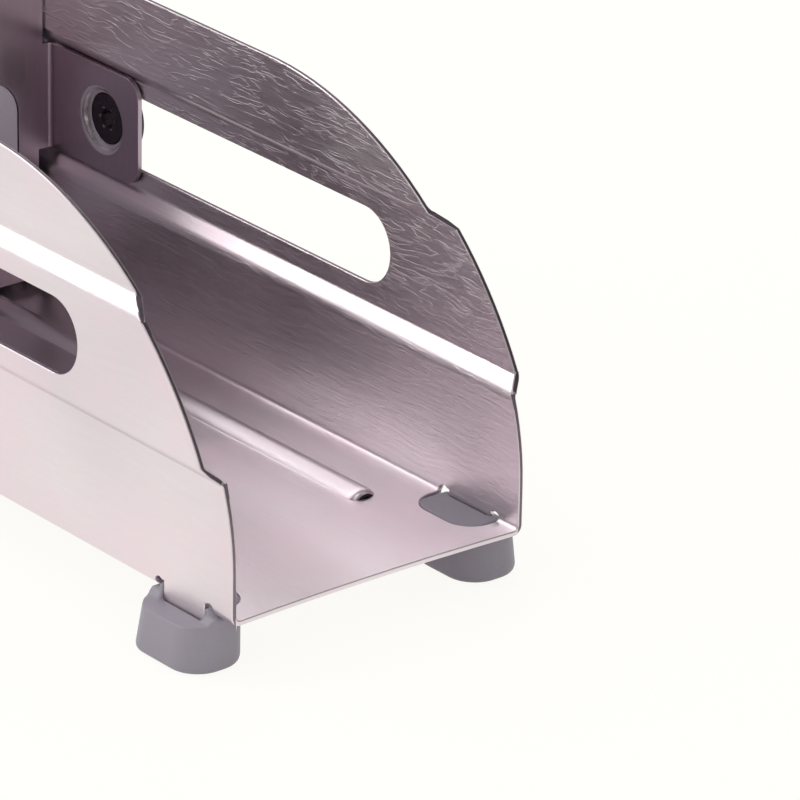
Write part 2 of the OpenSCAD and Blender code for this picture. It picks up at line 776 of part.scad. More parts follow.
// A quarter of a tube that bends the plate round into a flange.
module flange_bend() {
    r = plate_bend_r + plate_t;
    translate([-plate_s + plate_bend_r, flange_in_y - plate_bend_r, flange_low_z])
        difference() {
            intersection() {
                cylinder(h = flange_h, r = r, $fn = small_fn);
                translate([-r, 0, 0]) cube([r, r, flange_h]);
            }
            translate([0, 0, -past])
                cylinder(h = flange_h + 2 * past, r = plate_bend_r, $fn = small_fn);
        }
}

module carrier_flange() {
    difference() {
        union() {
            side_plate(flange_in_y, plate_t) flange_outline();
            cross_pin(bolt_s, slot_z, flange_in_y, dimple_out_y, bush_r, bush_r);
        }
        cross_pin(bolt_s, slot_z, flange_in_y - eps, head_y, dimple_r, bolt_head_r + seat_gap);
        cross_pin(bolt_s, slot_z, head_y - eps, dimple_out_y + eps, bolt_head_r, bolt_head_r);
    }
    flange_bend();
}

module pusher_carrier() color("silver") in_frame() {
    translate([-plate_front_s, 0, 0]) rotate([90, 0, 90]) linear_extrude(plate_t)
        plate_outline();
    both_sides() {
        carrier_flange();
        translate([-plate_front_s, plate_y - past, flange_low_z])
            cube([plate_t, flange_in_y - plate_bend_r - plate_y + past, flange_h]);
    }
}

module push_block() color("gray") in_frame() {
    difference() {
        union() {
            translate([-block_front_s, 0, block_z]) rotate([90, 0, 90])
                linear_extrude(block_t) round_rect(block_w, block_w, block_corner_r);
            // the raised face that shows in the plate's window
            translate([-plate_front_s - eps, 0, window_z]) rotate([90, 0, 90])
                linear_extrude(plate_t - seat_gap + eps)
                    round_rect(window_w - 2 * seat_gap, window_h - 2 * seat_gap,
                               window_r - seat_gap);
        }
        for (p = block_screw_places())
            long_pin(plate_s, block_front_s - block_skin, p[0], p[1], block_screw_r);
    }
    for (i = [0:cells - 1], j = [0:cells - 1])
        translate([-pin_tip_s, (i - (cells - 1) / 2) * cell_pitch - pin_w / 2,
                   block_z + (j - (cells - 1) / 2) * cell_pitch - pin_w / 2])
            cube([pin_tip_s - block_front_s + past, pin_w, pin_w]);
}

module block_screws() color("silver") in_frame()
    for (p = block_screw_places()) {
        long_pin(plate_s - screw_head_h / 2, block_front_s - block_skin, p[0], p[1],
                 block_screw_r);
        difference() {
            long_pin(plate_s - screw_head_h, plate_s, p[0], p[1], block_screw_r * head_share);
            long_pin(plate_s - screw_head_h - past, plate_s - screw_head_h + screw_key_d,
                     p[0], p[1], block_screw_r * screw_key_share, 6);
        }
    }

// ---------- slide bolts ----------

// Countersunk bolts that carry the links; they slide in the slots with their bushes.
module slide_bolts() color("dimgray") in_frame() both_sides() difference() {
    union() {
        cross_pin(bolt_s, slot_z, head_y, cone_out_y, bolt_head_r, bolt_r);
        cross_pin(bolt_s, slot_z, cone_out_y - eps, nut_y + nut_t - nut_lid - fit_gap,
                  bolt_r, bolt_r);
    }
    cross_pin(bolt_s, slot_z, head_y - past, head_y + key_d, key_r, key_r, 6);
}

module slide_bushes() color("gray") in_frame() both_sides() difference() {
    cross_pin(bolt_s, slot_z, dimple_out_y, bush_out_y, bush_r, bush_r);
    cross_pin(bolt_s, slot_z, head_y, cone_out_y, bolt_head_r, bolt_r);
    cross_pin(bolt_s, slot_z, head_y, bush_out_y + past, bolt_r, bolt_r);
}

module slide_washers() color("silver") in_frame() both_sides() difference() {
    cross_pin(bolt_s, slot_z, washer_y, nut_y, washer_r, washer_r);
    cross_pin(bolt_s, slot_z, washer_y - past, nut_y + past, bolt_r, bolt_r);
}

// Hexagon nuts with a closed, tapered end.
module slide_nuts() color("silver") in_frame() both_sides() difference() {
    intersection() {
        cross_pin(bolt_s, slot_z, nut_y, nut_y + nut_t, nut_r, nut_r, 6);
        cross_pin(bolt_s, slot_z, nut_y, nut_y + nut_t, nut_r + nut_t * nut_flat_share * nut_taper,
                  nut_r - nut_t * (1 - nut_flat_share) * nut_taper);
    }
    cross_pin(bolt_s, slot_z, nut_y - past, nut_y + nut_t - nut_lid, bolt_r, bolt_r);
}

// ---------- links ----------

module link() {
    a = [bolt_s, slot_z];
    b = [crank_s, crank_z];
    side_plate(link_y, link_t) difference() {
        union() {
            bar_outline(a, b, 2 * link_eye_r);
            translate([-b[0], b[1]]) circle(link_big_r);
        }
        translate([-a[0], a[1]]) circle(bolt_r + fit_gap, $fn = small_fn);
        translate([-b[0], b[1]]) circle(crank_r + crank_play, $fn = small_fn);
    }
}

module link_left() color("silver") in_frame() link();
module link_right() color("silver") in_frame() mirror([0, 1, 0]) link();

// ---------- lever ----------

module lever_arm() {
    foot = [pivot_s, pivot_z];
    elbow = [crank_s + (crank_s - pivot_s) * (elbow_z - crank_z) / (crank_z - pivot_z), elbow_z];
    hand = [grip_s, grip_z];
    side_plate(arm_y, arm_t) difference() {
        union() {
            bar_outline(foot, elbow, arm_w);
            bar_outline(elbow, hand, arm_w);
            translate([-foot[0], foot[1]]) circle(arm_w / 2 + arm_eye_rim);
        }
        translate([-foot[0], foot[1]]) circle(pivot_r + fit_gap, $fn = small_fn);
        translate([-crank_s, crank_z]) circle(crank_r, $fn = small_fn);
        translate([-hand[0], hand[1]]) circle(rod_r, $fn = small_fn);
    }
}

module lever_arm_left() color("silver") in_frame() lever_arm();
module lever_arm_right() color("silver") in_frame() mirror([0, 1, 0]) lever_arm();

module crank_pins() color("silver") in_frame() both_sides() {
    cross_pin(crank_s, crank_z, link_y - run_gap - cap_t, arm_out_y + crank_head_h / 2,
              crank_r, crank_r);
    cross_pin(crank_s, crank_z, arm_out_y, arm_out_y + crank_head_h, crank_head_r,
              crank_head_r * crank_taper);
}

// Flat caps that keep the links on the crank pins.
module crank_caps() color("silver") in_frame() both_sides() difference() {
    r = link_big_r - cap_inset;
    cross_pin(crank_s, crank_z, link_y - run_gap - cap_t, link_y - run_gap, r, r);
    cross_pin(crank_s, crank_z, link_y - run_gap - cap_t - past, link_y, crank_r, crank_r);
}

module grip_rod() color("silver") in_frame() {
    end_y = arm_out_y + rod_nut_t + rod_dome_h / 2;
    cross_pin(grip_s, grip_z, -end_y, end_y, rod_r, rod_r);
}

module grip_sleeve() color("gray") in_frame() difference() {
    union() {
        cross_pin(grip_s, grip_z, -grip_half + grip_edge, grip_half - grip_edge, grip_r, grip_r);
        both_sides() cross_pin(grip_s, grip_z, grip_half - grip_edge - eps, grip_half,
                               grip_r, grip_r - grip_edge);
    }
    cross_pin(grip_s, grip_z, -grip_half - past, grip_half + past, rod_r, rod_r);
}

module rod_nuts() color("silver") in_frame() both_sides() difference() {
    y1 = arm_out_y + rod_nut_t;
    union() {
        cross_pin(grip_s, grip_z, arm_out_y, y1, rod_nut_r, rod_nut_r, 6);
        cross_pin(grip_s, grip_z, y1 - eps, y1 + rod_dome_h, rod_nut_r * rod_dome_share,
                  rod_nut_r * rod_tip_share);
    }
    cross_pin(grip_s, grip_z, arm_out_y - past, y1 + rod_dome_h / 2, rod_r, rod_r);
}

// ---------- pivots ----------

module pivot_bolts() color("silver") in_frame() both_sides() {
    y0 = arm_out_y + run_gap + pivot_washer_t;
    cross_pin(pivot_s, pivot_z, inner_y - pivot_nut_t - pivot_end, y0 + past, pivot_r,
              pivot_r);
    difference() {
        cross_pin(pivot_s, pivot_z, y0, y0 + pivot_head_h, pivot_head_r,
                  pivot_head_r * pivot_taper);
        cross_pin(pivot_s, pivot_z, y0 + pivot_head_h / 2, y0 + pivot_head_h + past,
                  pivot_r * pivot_key_share, pivot_r * pivot_key_share, 6);
    }
}

module pivot_washers() color("silver") in_frame() both_sides() difference() {
    y0 = arm_out_y + run_gap;
    r = pivot_head_r + pivot_washer_past;
    cross_pin(pivot_s, pivot_z, y0, y0 + pivot_washer_t, r, r);
    cross_pin(pivot_s, pivot_z, y0 - past, y0 + pivot_washer_t + past, pivot_r, pivot_r);
}

module pivot_spacers() color("silver") in_frame() both_sides() difference() {
    cross_pin(pivot_s, pivot_z, half_w, arm_y - run_gap, spacer_r, spacer_r);
    cross_pin(pivot_s, pivot_z, half_w - past, arm_y, pivot_r, pivot_r);
}

module pivot_nuts() color("silver") in_frame() both_sides() difference() {
    cross_pin(pivot_s, pivot_z, inner_y - pivot_nut_t, inner_y, pivot_nut_r, pivot_nut_r, 6);
    cross_pin(pivot_s, pivot_z, inner_y - pivot_nut_t - past, inner_y + past, pivot_r, pivot_r);
}

body_shell();
foot_rear_left();
foot_rear_right();
foot_front_left();
foot_front_right();
blade_frame();
vertical_blades();
horizontal_blades();
blade_screws();
pusher_carrier();
push_block();
block_screws();
slide_bolts();
slide_bushes();
slide_washers();
slide_nuts();
link_left();
link_right();
lever_arm_left();
lever_arm_right();
crank_pins();
crank_caps();
grip_rod();
grip_sleeve();
rod_nuts();
pivot_bolts();
pivot_washers();
pivot_spacers();
pivot_nuts();
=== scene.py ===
"""Looks of a lever-operated potato chipper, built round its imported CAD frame.

The channel, the carrier, the blade frame and the bars are softened tracings of the CAD
solids, and the feet are remeshed from them. Hardware is turned from profiles. Blades, pins,
the ribbed grip and every set of copies grow from geometry nodes.
"""

import json
import logging
import math
from collections.abc import Callable, Iterable
from dataclasses import dataclass, field, replace
from enum import Enum
from typing import Union

import bmesh
import bpy
from mathutils import Matrix, Vector
from mathutils.geometry import intersect_line_line


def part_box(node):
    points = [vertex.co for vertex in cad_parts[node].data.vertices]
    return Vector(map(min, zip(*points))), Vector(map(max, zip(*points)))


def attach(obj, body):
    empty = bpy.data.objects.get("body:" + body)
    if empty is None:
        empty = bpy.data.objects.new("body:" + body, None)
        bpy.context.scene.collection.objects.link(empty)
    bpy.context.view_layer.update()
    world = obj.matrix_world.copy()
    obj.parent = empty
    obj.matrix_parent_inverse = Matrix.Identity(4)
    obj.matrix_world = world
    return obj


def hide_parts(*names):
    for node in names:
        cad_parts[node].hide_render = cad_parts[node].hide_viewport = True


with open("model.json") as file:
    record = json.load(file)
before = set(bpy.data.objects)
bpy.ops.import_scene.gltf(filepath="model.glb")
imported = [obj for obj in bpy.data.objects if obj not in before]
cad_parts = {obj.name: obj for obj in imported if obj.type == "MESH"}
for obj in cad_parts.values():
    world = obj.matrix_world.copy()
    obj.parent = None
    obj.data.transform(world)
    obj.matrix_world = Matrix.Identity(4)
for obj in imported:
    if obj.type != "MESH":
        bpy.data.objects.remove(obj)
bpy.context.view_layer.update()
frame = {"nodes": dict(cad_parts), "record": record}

LOG = logging.getLogger("chipper")
MM = 0.001
QUARTER = math.pi / 2
MERGE = 2e-6                    # distance at which the vertices of a tracing are one
FLAT = math.radians(0.6)        # faces that differ less than this are one face
SHARP = math.radians(50)        # least angle of a cut or moulded corner
BENT = math.radians(25)         # least angle of a bend line
SLENDER = math.radians(60)      # corners with less between two edges aren't rounded
LARGE = 8                       # corners above which the sides of a face may cross
REACH = 0.8 * MM                # how far apart the ends of two sides that cross may be
SKIPS = (4, 3, 2)               # how many corners may lie between two sides that cross
ALONG = 0.999                   # least share of an edge's length that lies along X
RELIEF = 0.1 * MM               # depth of a finish's relief
HEX = 6                         # corners of a hexagon
CROWN = ((0.25, 1.0), (0.62, 0.93), (0.9, 0.76))    # a button head's shares of rise and radius
FLOAT = "NodeSocketFloat"
INT = "NodeSocketInt"
VECTOR = "NodeSocketVector"

Colour = tuple[float, float, float]
Feed = dict[int | str, object]
Inputs = dict[str, tuple[str, object]]
Node = bpy.types.Node
Socket = bpy.types.NodeSocket
Tree = bpy.types.NodeTree
Object = bpy.types.Object
Material = bpy.types.Material
Mesh = bpy.types.Mesh
Face = bmesh.types.BMFace
Edge = bmesh.types.BMEdge
Value = Union[Socket, float]
EdgeTest = Callable[[Edge], bool]


class Grain(Enum):
    """The way of the brush strokes on a piece, and the turn that brings them along X."""

    ALONG_X = ((1.0, 0.0, 0.0), (0.0, 0.0, 0.0))
    ALONG_Y = ((0.0, 1.0, 0.0), (0.0, 0.0, QUARTER))
    ALONG_Z = ((0.0, 0.0, 1.0), (0.0, QUARTER, 0.0))


class Side(Enum):
    """The side of the channel that a piece is on, as the sign of its Y."""

    LEFT = 1
    RIGHT = -1


def srgb(red: int, green: int, blue: int) -> Colour:
    """Returns the linear colour of an 8-bit screen colour, by the sRGB standard."""
    parts = [value / 255 for value in (red, green, blue)]
    linear = [p / 12.92 if p <= 0.04045 else ((p + 0.055) / 1.055) ** 2.4 for p in parts]
    return (linear[0], linear[1], linear[2])


# ---------- node building ----------


class Wiring:
    """Adds and joins the nodes of one tree.

    Args:
        tree: the node tree to build in.
    """

    def __init__(self, tree: Tree) -> None:
        """Keeps the tree."""
        self.tree = tree

    def feed(self, target: Socket, value: object) -> None:
        """Links or sets an input, whichever the value calls for."""
        if isinstance(value, Socket):
            self.tree.links.new(value, target)
        elif target.type == "RGBA" and len(value) == 3:
            target.default_value = (*value, 1.0)
        else:
            target.default_value = value

    def fill(self, node: Node, inputs: Feed) -> Node:
        """Feeds inputs of a node, by name or number, and returns the node."""
        for key, value in inputs.items():
            self.feed(node.inputs[key], value)
        return node

    def add(self, kind: str, inputs: Feed | None = None, **settings: object) -> Node:
        """Adds a node.

        Args:
            kind: the node's type name.
            inputs: what goes into its inputs, by name or number.
            settings: its properties, by name, which are set first.

        Returns:
            The new node.
        """
        node = self.tree.nodes.new(kind)
        for name, value in settings.items():
            setattr(node, name, value)
        return self.fill(node, inputs or {})

    def math(self, operation: str, *values: Value) -> Socket:
        """Returns the result of a Math node on the values."""
        return self.add("ShaderNodeMath", dict(enumerate(values)), operation=operation).outputs[0]

    def times(self, first: Value, second: Value) -> Socket:
        """Returns a product."""
        return self.math("MULTIPLY", first, second)

    def plus(self, first: Value, second: Value) -> Socket:
        """Returns a sum."""
        return self.math("ADD", first, second)

    def minus(self, first: Value, second: Value) -> Socket:
        """Returns a difference."""
        return self.math("SUBTRACT", first, second)

    def vector(self, operation: str, *values: object) -> Socket:
        """Returns the result of a Vector Math node on the values."""
        node = self.add("ShaderNodeVectorMath", dict(enumerate(values)), operation=operation)
        return node.outputs[0]

    def split(self, vector: Socket) -> list[Socket]:
        """Returns the three values of a vector."""
        return list(self.add("ShaderNodeSeparateXYZ", {0: vector}).outputs)

    def triple(self, *values: Value) -> Socket:
        """Returns a vector of three values."""
        return self.add("ShaderNodeCombineXYZ", dict(enumerate(values))).outputs[0]


class Shading(Wiring):
    """Builds the nodes of one material or shader group."""

    def mix(self, factor: Value, low: object, high: object) -> Socket:
        """Returns two colours mixed by a factor."""
        inputs = {"Factor": factor, 6: low, 7: high}
        return self.add("ShaderNodeMix", inputs, data_type="RGBA").outputs[2]

    def ramp(self, value: Socket, low: float, high: float) -> Socket:
        """Returns the value spread from 0 at low to 1 at high, clamped."""
        inputs = {"Value": value, "From Min": low, "From Max": high}
        return self.add("ShaderNodeMapRange", inputs, clamp=True).outputs["Result"]

    def noise(self, vector: Socket, scale: float, detail: float = 2.0,
              roughness: float = 0.5) -> Node:
        """Returns a noise node.

        Args:
            vector: the place.
            scale: cells per metre.
            detail: octaves.
            roughness: weight of the finer octaves.

        Returns:
            The node, whose output Fac is a value and whose output Color is three.
        """
        return self.add("ShaderNodeTexNoise", {"Vector": vector, "Scale": scale,
                                               "Detail": detail, "Roughness": roughness})

    def bump(self, height: Socket, strength: float) -> Socket:
        """Returns the normal of a surface with that height."""
        return self.add("ShaderNodeBump", {"Height": height, "Strength": strength,
                                           "Distance": RELIEF}).outputs["Normal"]


@dataclass(frozen=True)
class Pattern:
    """A noise drawn out along X, and the part of its range that is used.

    Args:
        narrow: how fast it changes along X, as a share of how fast it changes across.
        scale: cells per metre across X.
        detail: octaves.
        roughness: weight of the finer octaves.
        low: the value that becomes 0.
        high: the value that becomes 1.
    """

    narrow: float
    scale: float
    detail: float
    roughness: float = 0.5
    low: float = 0.0
    high: float = 1.0

    def raw(self, build: Shading, place: Socket) -> Socket:
        """Returns the noise at a place."""
        wide = build.vector("MULTIPLY", place, (self.narrow, 1.0, 1.0))
        return build.noise(wide, self.scale, self.detail, self.roughness).outputs["Fac"]

    def used(self, build: Shading, place: Socket) -> Socket:
        """Returns the used part of the noise, spread from 0 to 1."""
        return build.ramp(self.raw(build, place), self.low, self.high)


# The marks of the finishes. Strokes sway across X by SWAY, in metres, and a scratch is where
# its noise is near the middle of its range.
NOISE_MEAN = 0.5
SWAY_SCALE = 55.0
SWAY = (0.0, 0.004, 0.004)
STROKES = Pattern(0.075, 900.0, 1.5, 0.55, 0.36, 0.66)
HAIRLINES = Pattern(0.02, 3400.0, 1.0, 0.6, 0.3, 0.7)
SCRATCHES = Pattern(0.14, 760.0, 1.5)
SCRATCH_WIDTH = 0.05
SCRATCH_TONE = 0.6
PATCHES = Pattern(0.3, 330.0, 2.0, 0.5, 0.36, 0.54)
SMUDGES = Pattern(1.0, 30.0, 4.0, 0.62, 0.42, 0.72)
DRIFT = Pattern(0.5, 26.0, 1.5, 0.5, 0.3, 0.7)


def floats(*labels: str) -> Inputs:
    """Returns inputs for values that are always given."""
    return {label: (FLOAT, None) for label in labels}


def rotation(angle: float, axis: str) -> Matrix:
    """Returns a turn about an axis."""
    return Matrix.Rotation(angle, 4, axis)


def add_inputs(tree: Tree, inputs: Inputs) -> None:
    """Gives a tree its inputs, each with its socket type and its default value."""
    for label, (kind, value) in inputs.items():
        socket = tree.interface.new_socket(label, in_out="INPUT", socket_type=kind)
        if value is not None:
            socket.default_value = value


def new_group(name: str, inputs: Inputs,
              outputs: Iterable[str]) -> tuple[Tree, Shading, Node, Node]:
    """Makes an empty shader node group with its sockets.

    Args:
        name: the group's name.
        inputs: for each input, its socket type and its default value.
        outputs: the names of its outputs, which are values.

    Returns:
        The group, a builder for it, and its input and output nodes.
    """
    group = bpy.data.node_groups.new(name, "ShaderNodeTree")
    add_inputs(group, inputs)
    for label in outputs:
        group.interface.new_socket(label, in_out="OUTPUT", socket_type=FLOAT)
    build = Shading(group)
    return group, build, build.add("NodeGroupInput"), build.add("NodeGroupOutput")


def brush_group() -> Tree:
    """Builds the strokes and hairlines of a belt that runs along X, and wavy scratches.

    Returns:
        The node group, with a tone and a height.
    """
    group, build, given, result = new_group(
        "brush_strokes", {"Place": (VECTOR, None), **floats("Strokes", "Hairlines", "Scratches")},
        ("Tone", "Height"))
    place = given.outputs["Place"]
    sway = build.vector("SUBTRACT", build.noise(place, SWAY_SCALE, 1.0).outputs["Color"],
                        (NOISE_MEAN, NOISE_MEAN, NOISE_MEAN))
    bent = build.vector("ADD", place, build.vector("MULTIPLY", sway, SWAY))
    strokes = build.minus(STROKES.used(build, bent), NOISE_MEAN)
    hairs = build.minus(HAIRLINES.used(build, place), NOISE_MEAN)
    both = build.plus(build.times(strokes, given.outputs["Strokes"]),
                      build.times(hairs, given.outputs["Hairlines"]))
    wave = build.math("ABSOLUTE", build.minus(SCRATCHES.raw(build, bent), NOISE_MEAN))
    line = build.minus(1.0, build.ramp(wave, 0.0, SCRATCH_WIDTH))
    line = build.times(line, PATCHES.used(build, place))
    line = build.times(line, given.outputs["Scratches"])
    build.fill(result, {"Tone": build.plus(both, build.times(line, SCRATCH_TONE)),
                        "Height": build.plus(both, line)})
    return group


def handling_group() -> Tree:
    """Builds soft smudges and a cloudy tone left by rolling and handling.

    Returns:
        The node group, with a smudge mask and a slow drift of colour.
    """
    group, build, given, result = new_group("handling", {"Place": (VECTOR, None)},
                                            ("Smudge", "Drift"))
    place = given.outputs["Place"]
    build.fill(result, {"Smudge": SMUDGES.used(build, place),
                        "Drift": DRIFT.used(build, place)})
    return group


TREES: dict[Callable[[], Tree], Tree] = {}


def shared(maker: Callable[[], Tree]) -> Tree:
    """Returns the tree that a function makes, made the first time it is asked for."""
    if maker not in TREES:
        TREES[maker] = maker()
    return TREES[maker]


def blank_material(name: str) -> tuple[Material, Shading, Node]:
    """Makes a material and returns it, a builder for it and its Principled BSDF."""
    material = bpy.data.materials.new(name)
    material.use_nodes = True
    return material, Shading(material.node_tree), material.node_tree.nodes["Principled BSDF"]


@dataclass(frozen=True)
class BrushedSteel:
    """Satin stainless sheet or bar with brush strokes one way."""

    name: str
    grain: Grain
    tint: Colour = srgb(232, 223, 227)
    shade: Colour = srgb(216, 207, 212)
    bloom: Colour = srgb(238, 212, 222)
    roughness: float = 0.32
    metallic: float = 1.0
    anisotropy: float = 0.5
    turn: float = 0.25
    strokes: float = 0.5
    hairlines: float = 0.5
    scratches: float = 0.0
    scratched_from: float = 0.0
    scratched_to: float = 0.0
    least_scratched: float = 0.25
    relief: float = 0.3
    blooming: float = 0.0
    toned: float = 0.6
    roughened: float = 0.1
    smudged: float = 0.06

    def material(self) -> Material:
        """Builds the finish."""
        material, build, shader = blank_material(self.name)
        along, turn = self.grain.value
        place = build.add("ShaderNodeTexCoord").outputs["Object"]
        turned = build.add("ShaderNodeMapping", {"Vector": place, "Rotation": turn}).outputs[0]
        scratches: Value = self.scratches
        if self.scratched_from:
            share = build.ramp(build.split(place)[2], self.scratched_from, self.scratched_to)
            share = build.times(share, 1.0 - self.least_scratched)
            scratches = build.times(build.plus(share, self.least_scratched), self.scratches)
        brush = build.add("ShaderNodeGroup",
                          {"Place": turned, "Strokes": self.strokes,
                           "Hairlines": self.hairlines, "Scratches": scratches},
                          node_tree=shared(brush_group)).outputs
        marks = build.add("ShaderNodeGroup", {"Place": place},
                          node_tree=shared(handling_group)).outputs
        tone = build.plus(build.times(brush["Tone"], self.toned), marks["Drift"])
        metal = build.mix(build.ramp(tone, 0.0, 1.0), self.shade, self.tint)
        bloomed = build.times(marks["Smudge"], self.blooming)
        rough = build.plus(build.times(brush["Tone"], self.roughened),
                           build.times(marks["Smudge"], self.smudged))
        build.fill(shader, {"Base Color": build.mix(bloomed, metal, self.bloom),
                            "Roughness": build.plus(rough, self.roughness),
                            "Metallic": self.metallic, "Anisotropic": self.anisotropy,
                            "Anisotropic Rotation": self.turn,
                            "Tangent": build.triple(*along),
                            "Normal": build.bump(brush["Height"], self.relief)})
        return material


@dataclass(frozen=True)
class MouldedPlastic:
    """Satin moulded plastic with a fine spark-eroded grain."""

    name: str
    colour: Colour
    shade: Colour
    roughness: float = 0.45
    grain_size: float = 2200.0
    grain_octaves: float = 2.0
    grain_weight: float = 0.6
    grained: float = 0.3
    drifting: float = 0.5
    darkest: float = 0.2
    lightest: float = 0.6
    polished: float = 0.06
    relief: float = 0.12

    def material(self) -> Material:
        """Builds the finish."""
        material, build, shader = blank_material(self.name)
        place = build.add("ShaderNodeTexCoord").outputs["Object"]
        grain = build.noise(place, self.grain_size, self.grain_octaves,
                            self.grain_weight).outputs["Fac"]
        marks = build.add("ShaderNodeGroup", {"Place": place},
                          node_tree=shared(handling_group)).outputs
        tone = build.plus(build.times(grain, self.grained),
                          build.times(marks["Drift"], self.drifting))
        share = build.ramp(tone, self.darkest, self.lightest)
        rough = build.times(marks["Smudge"], -self.polished)
        build.fill(shader, {"Base Color": build.mix(share, self.shade, self.colour),
                            "Roughness": build.plus(rough, self.roughness),
                            "Normal": build.bump(grain, self.relief)})
        return material


class Finishes:
    """The finishes of the chipper, each built once."""

    def __init__(self) -> None:
        """Builds every material."""
        self.channel = BrushedSteel("channel_sheet", Grain.ALONG_X, strokes=0.2,
                                    hairlines=0.25, scratches=0.2, relief=0.25,
                                    blooming=0.5).material()
        self.scuffed = BrushedSteel("scuffed_sheet", Grain.ALONG_X, srgb(234, 225, 229),
                                    srgb(216, 207, 212), strokes=0.45, hairlines=0.3,
                                    scratches=1.5, scratched_from=38 * MM,
                                    scratched_to=72 * MM, relief=0.5).material()
        # Cut edges: a duller, rougher sheared face, and a darker colour that is painted shade,
        # the dark lines along the edges.
        self.sheared_and_shaded = BrushedSteel("sheared_edge", Grain.ALONG_Y, srgb(142, 130, 140),
                                    srgb(110, 100, 110), roughness=0.45, anisotropy=0.0,
                                    relief=0.2).material()
        self.plate = BrushedSteel("carrier_sheet", Grain.ALONG_Z, srgb(196, 180, 191),
                                  srgb(168, 152, 164), strokes=0.12, hairlines=0.3,
                                  relief=0.15).material()
        self.link = BrushedSteel("link_steel", Grain.ALONG_Z, srgb(86, 78, 85),
                                 srgb(64, 58, 64), roughness=0.3, strokes=0.3).material()
        self.dark = BrushedSteel("dark_steel", Grain.ALONG_Y, srgb(78, 70, 78),
                                 srgb(52, 46, 52), roughness=0.22, strokes=0.15,
                                 relief=0.15).material()
        self.bar = BrushedSteel("bar_steel", Grain.ALONG_Z, roughness=0.26,
                                strokes=0.3).material()
        self.blade = BrushedSteel("blade_strip", Grain.ALONG_Z, srgb(232, 230, 232),
                                  srgb(214, 210, 214), roughness=0.2, strokes=0.2).material()
        self.hardware = BrushedSteel("turned_steel", Grain.ALONG_Y, srgb(188, 178, 186),
                                     srgb(150, 138, 148), roughness=0.24, strokes=0.15,
                                     relief=0.15).material()
        self.moulding = MouldedPlastic("grey_moulding", srgb(140, 134, 146),
                                       srgb(127, 121, 133)).material()
        self.block = MouldedPlastic("block_moulding", srgb(196, 187, 200),
                                    srgb(180, 171, 185)).material()
        self.grip = MouldedPlastic("grip_moulding", srgb(150, 142, 150), srgb(136, 128, 138),
                                   roughness=0.55, grain_size=1500.0).material()
        self.nylon = MouldedPlastic("bush_nylon", srgb(62, 54, 62), srgb(48, 42, 50),
                                    roughness=0.38).material()


# ---------- growing ----------


class Growing(Wiring):
    """Builds a geometry node tree with named inputs that ends in one material.

    Args:
        name: the tree's name.
        inputs: for each input, its socket type and its default value.
    """

    def __init__(self, name: str, inputs: Inputs) -> None:
        """Makes the tree, its sockets and its input node."""
        super().__init__(bpy.data.node_groups.new(name, "GeometryNodeTree"))
        self.tree.interface.new_socket("Geometry", in_out="OUTPUT",
                                       socket_type="NodeSocketGeometry")
        add_inputs(self.tree, {"Places": ("NodeSocketGeometry", None), **inputs,
                               "Finish": ("NodeSocketMaterial", None)})
        self.given = self.add("NodeGroupInput").outputs

    def position(self) -> list[Socket]:
        """Returns the three coordinates of each point."""
        return self.split(self.add("GeometryNodeInputPosition").outputs[0])

    def moved(self, shape: Socket, by: object) -> Socket:
        """Returns a shape moved by a vector or an input."""
        return self.add("GeometryNodeTransform", {"Geometry": shape,
                                                  "Translation": by}).outputs[0]

    def turned(self, shape: Socket, by: object) -> Socket:
        """Returns a shape turned about the origin, in radians along X, Y and Z."""
        return self.add("GeometryNodeTransform", {"Geometry": shape,
                                                  "Rotation": by}).outputs[0]

    def block(self, size: Socket, columns: int = 2) -> Socket:
        """Returns a cuboid about the origin, with columns of vertices along X."""
        return self.add("GeometryNodeMeshCube", {"Size": size, "Vertices X": columns}).outputs[0]

    def reshaped(self, shape: Socket, chosen: Socket, place: Socket) -> Socket:
        """Returns a shape whose chosen vertices are put elsewhere."""
        inputs = {"Geometry": shape, "Selection": chosen, "Position": place}
        return self.add("GeometryNodeSetPosition", inputs).outputs[0]

    def placed(self, places: Socket, shape: Socket, turn: object = (0.0, 0.0, 0.0)) -> Socket:
        """Returns a copy of a shape at every point, turned."""
        inputs = {"Points": places, "Instance": shape, "Rotation": turn}
        return self.add("GeometryNodeInstanceOnPoints", inputs).outputs[0]

    def finish(self, shape: Socket) -> Tree:
        """Ends the tree in real geometry with the given material, and returns it."""
        real = self.add("GeometryNodeRealizeInstances", {0: shape})
        paint = self.add("GeometryNodeSetMaterial", {"Geometry": real.outputs[0],
                                                     "Material": self.given["Finish"]})
        self.add("NodeGroupOutput", {0: paint.outputs[0]})
        return self.tree


def copies_tree() -> Tree:
    """Builds the tree that puts a copy of a part at every point.

    Returns:
        The tree, whose input Turn turns the copies on the right side about Z.
    """
    grow = Growing("copies_at_points", {"Part": ("NodeSocketObject", None),
                                        **floats("Turn")})
    part = grow.add("GeometryNodeObjectInfo", {"Object": grow.given["Part"]})
    right = grow.math("LESS_THAN", grow.position()[1], 0.0)
    turn = grow.triple(0.0, 0.0, grow.times(right, grow.given["Turn"]))
    return grow.finish(grow.placed(grow.given["Places"], part.outputs["Geometry"], turn))


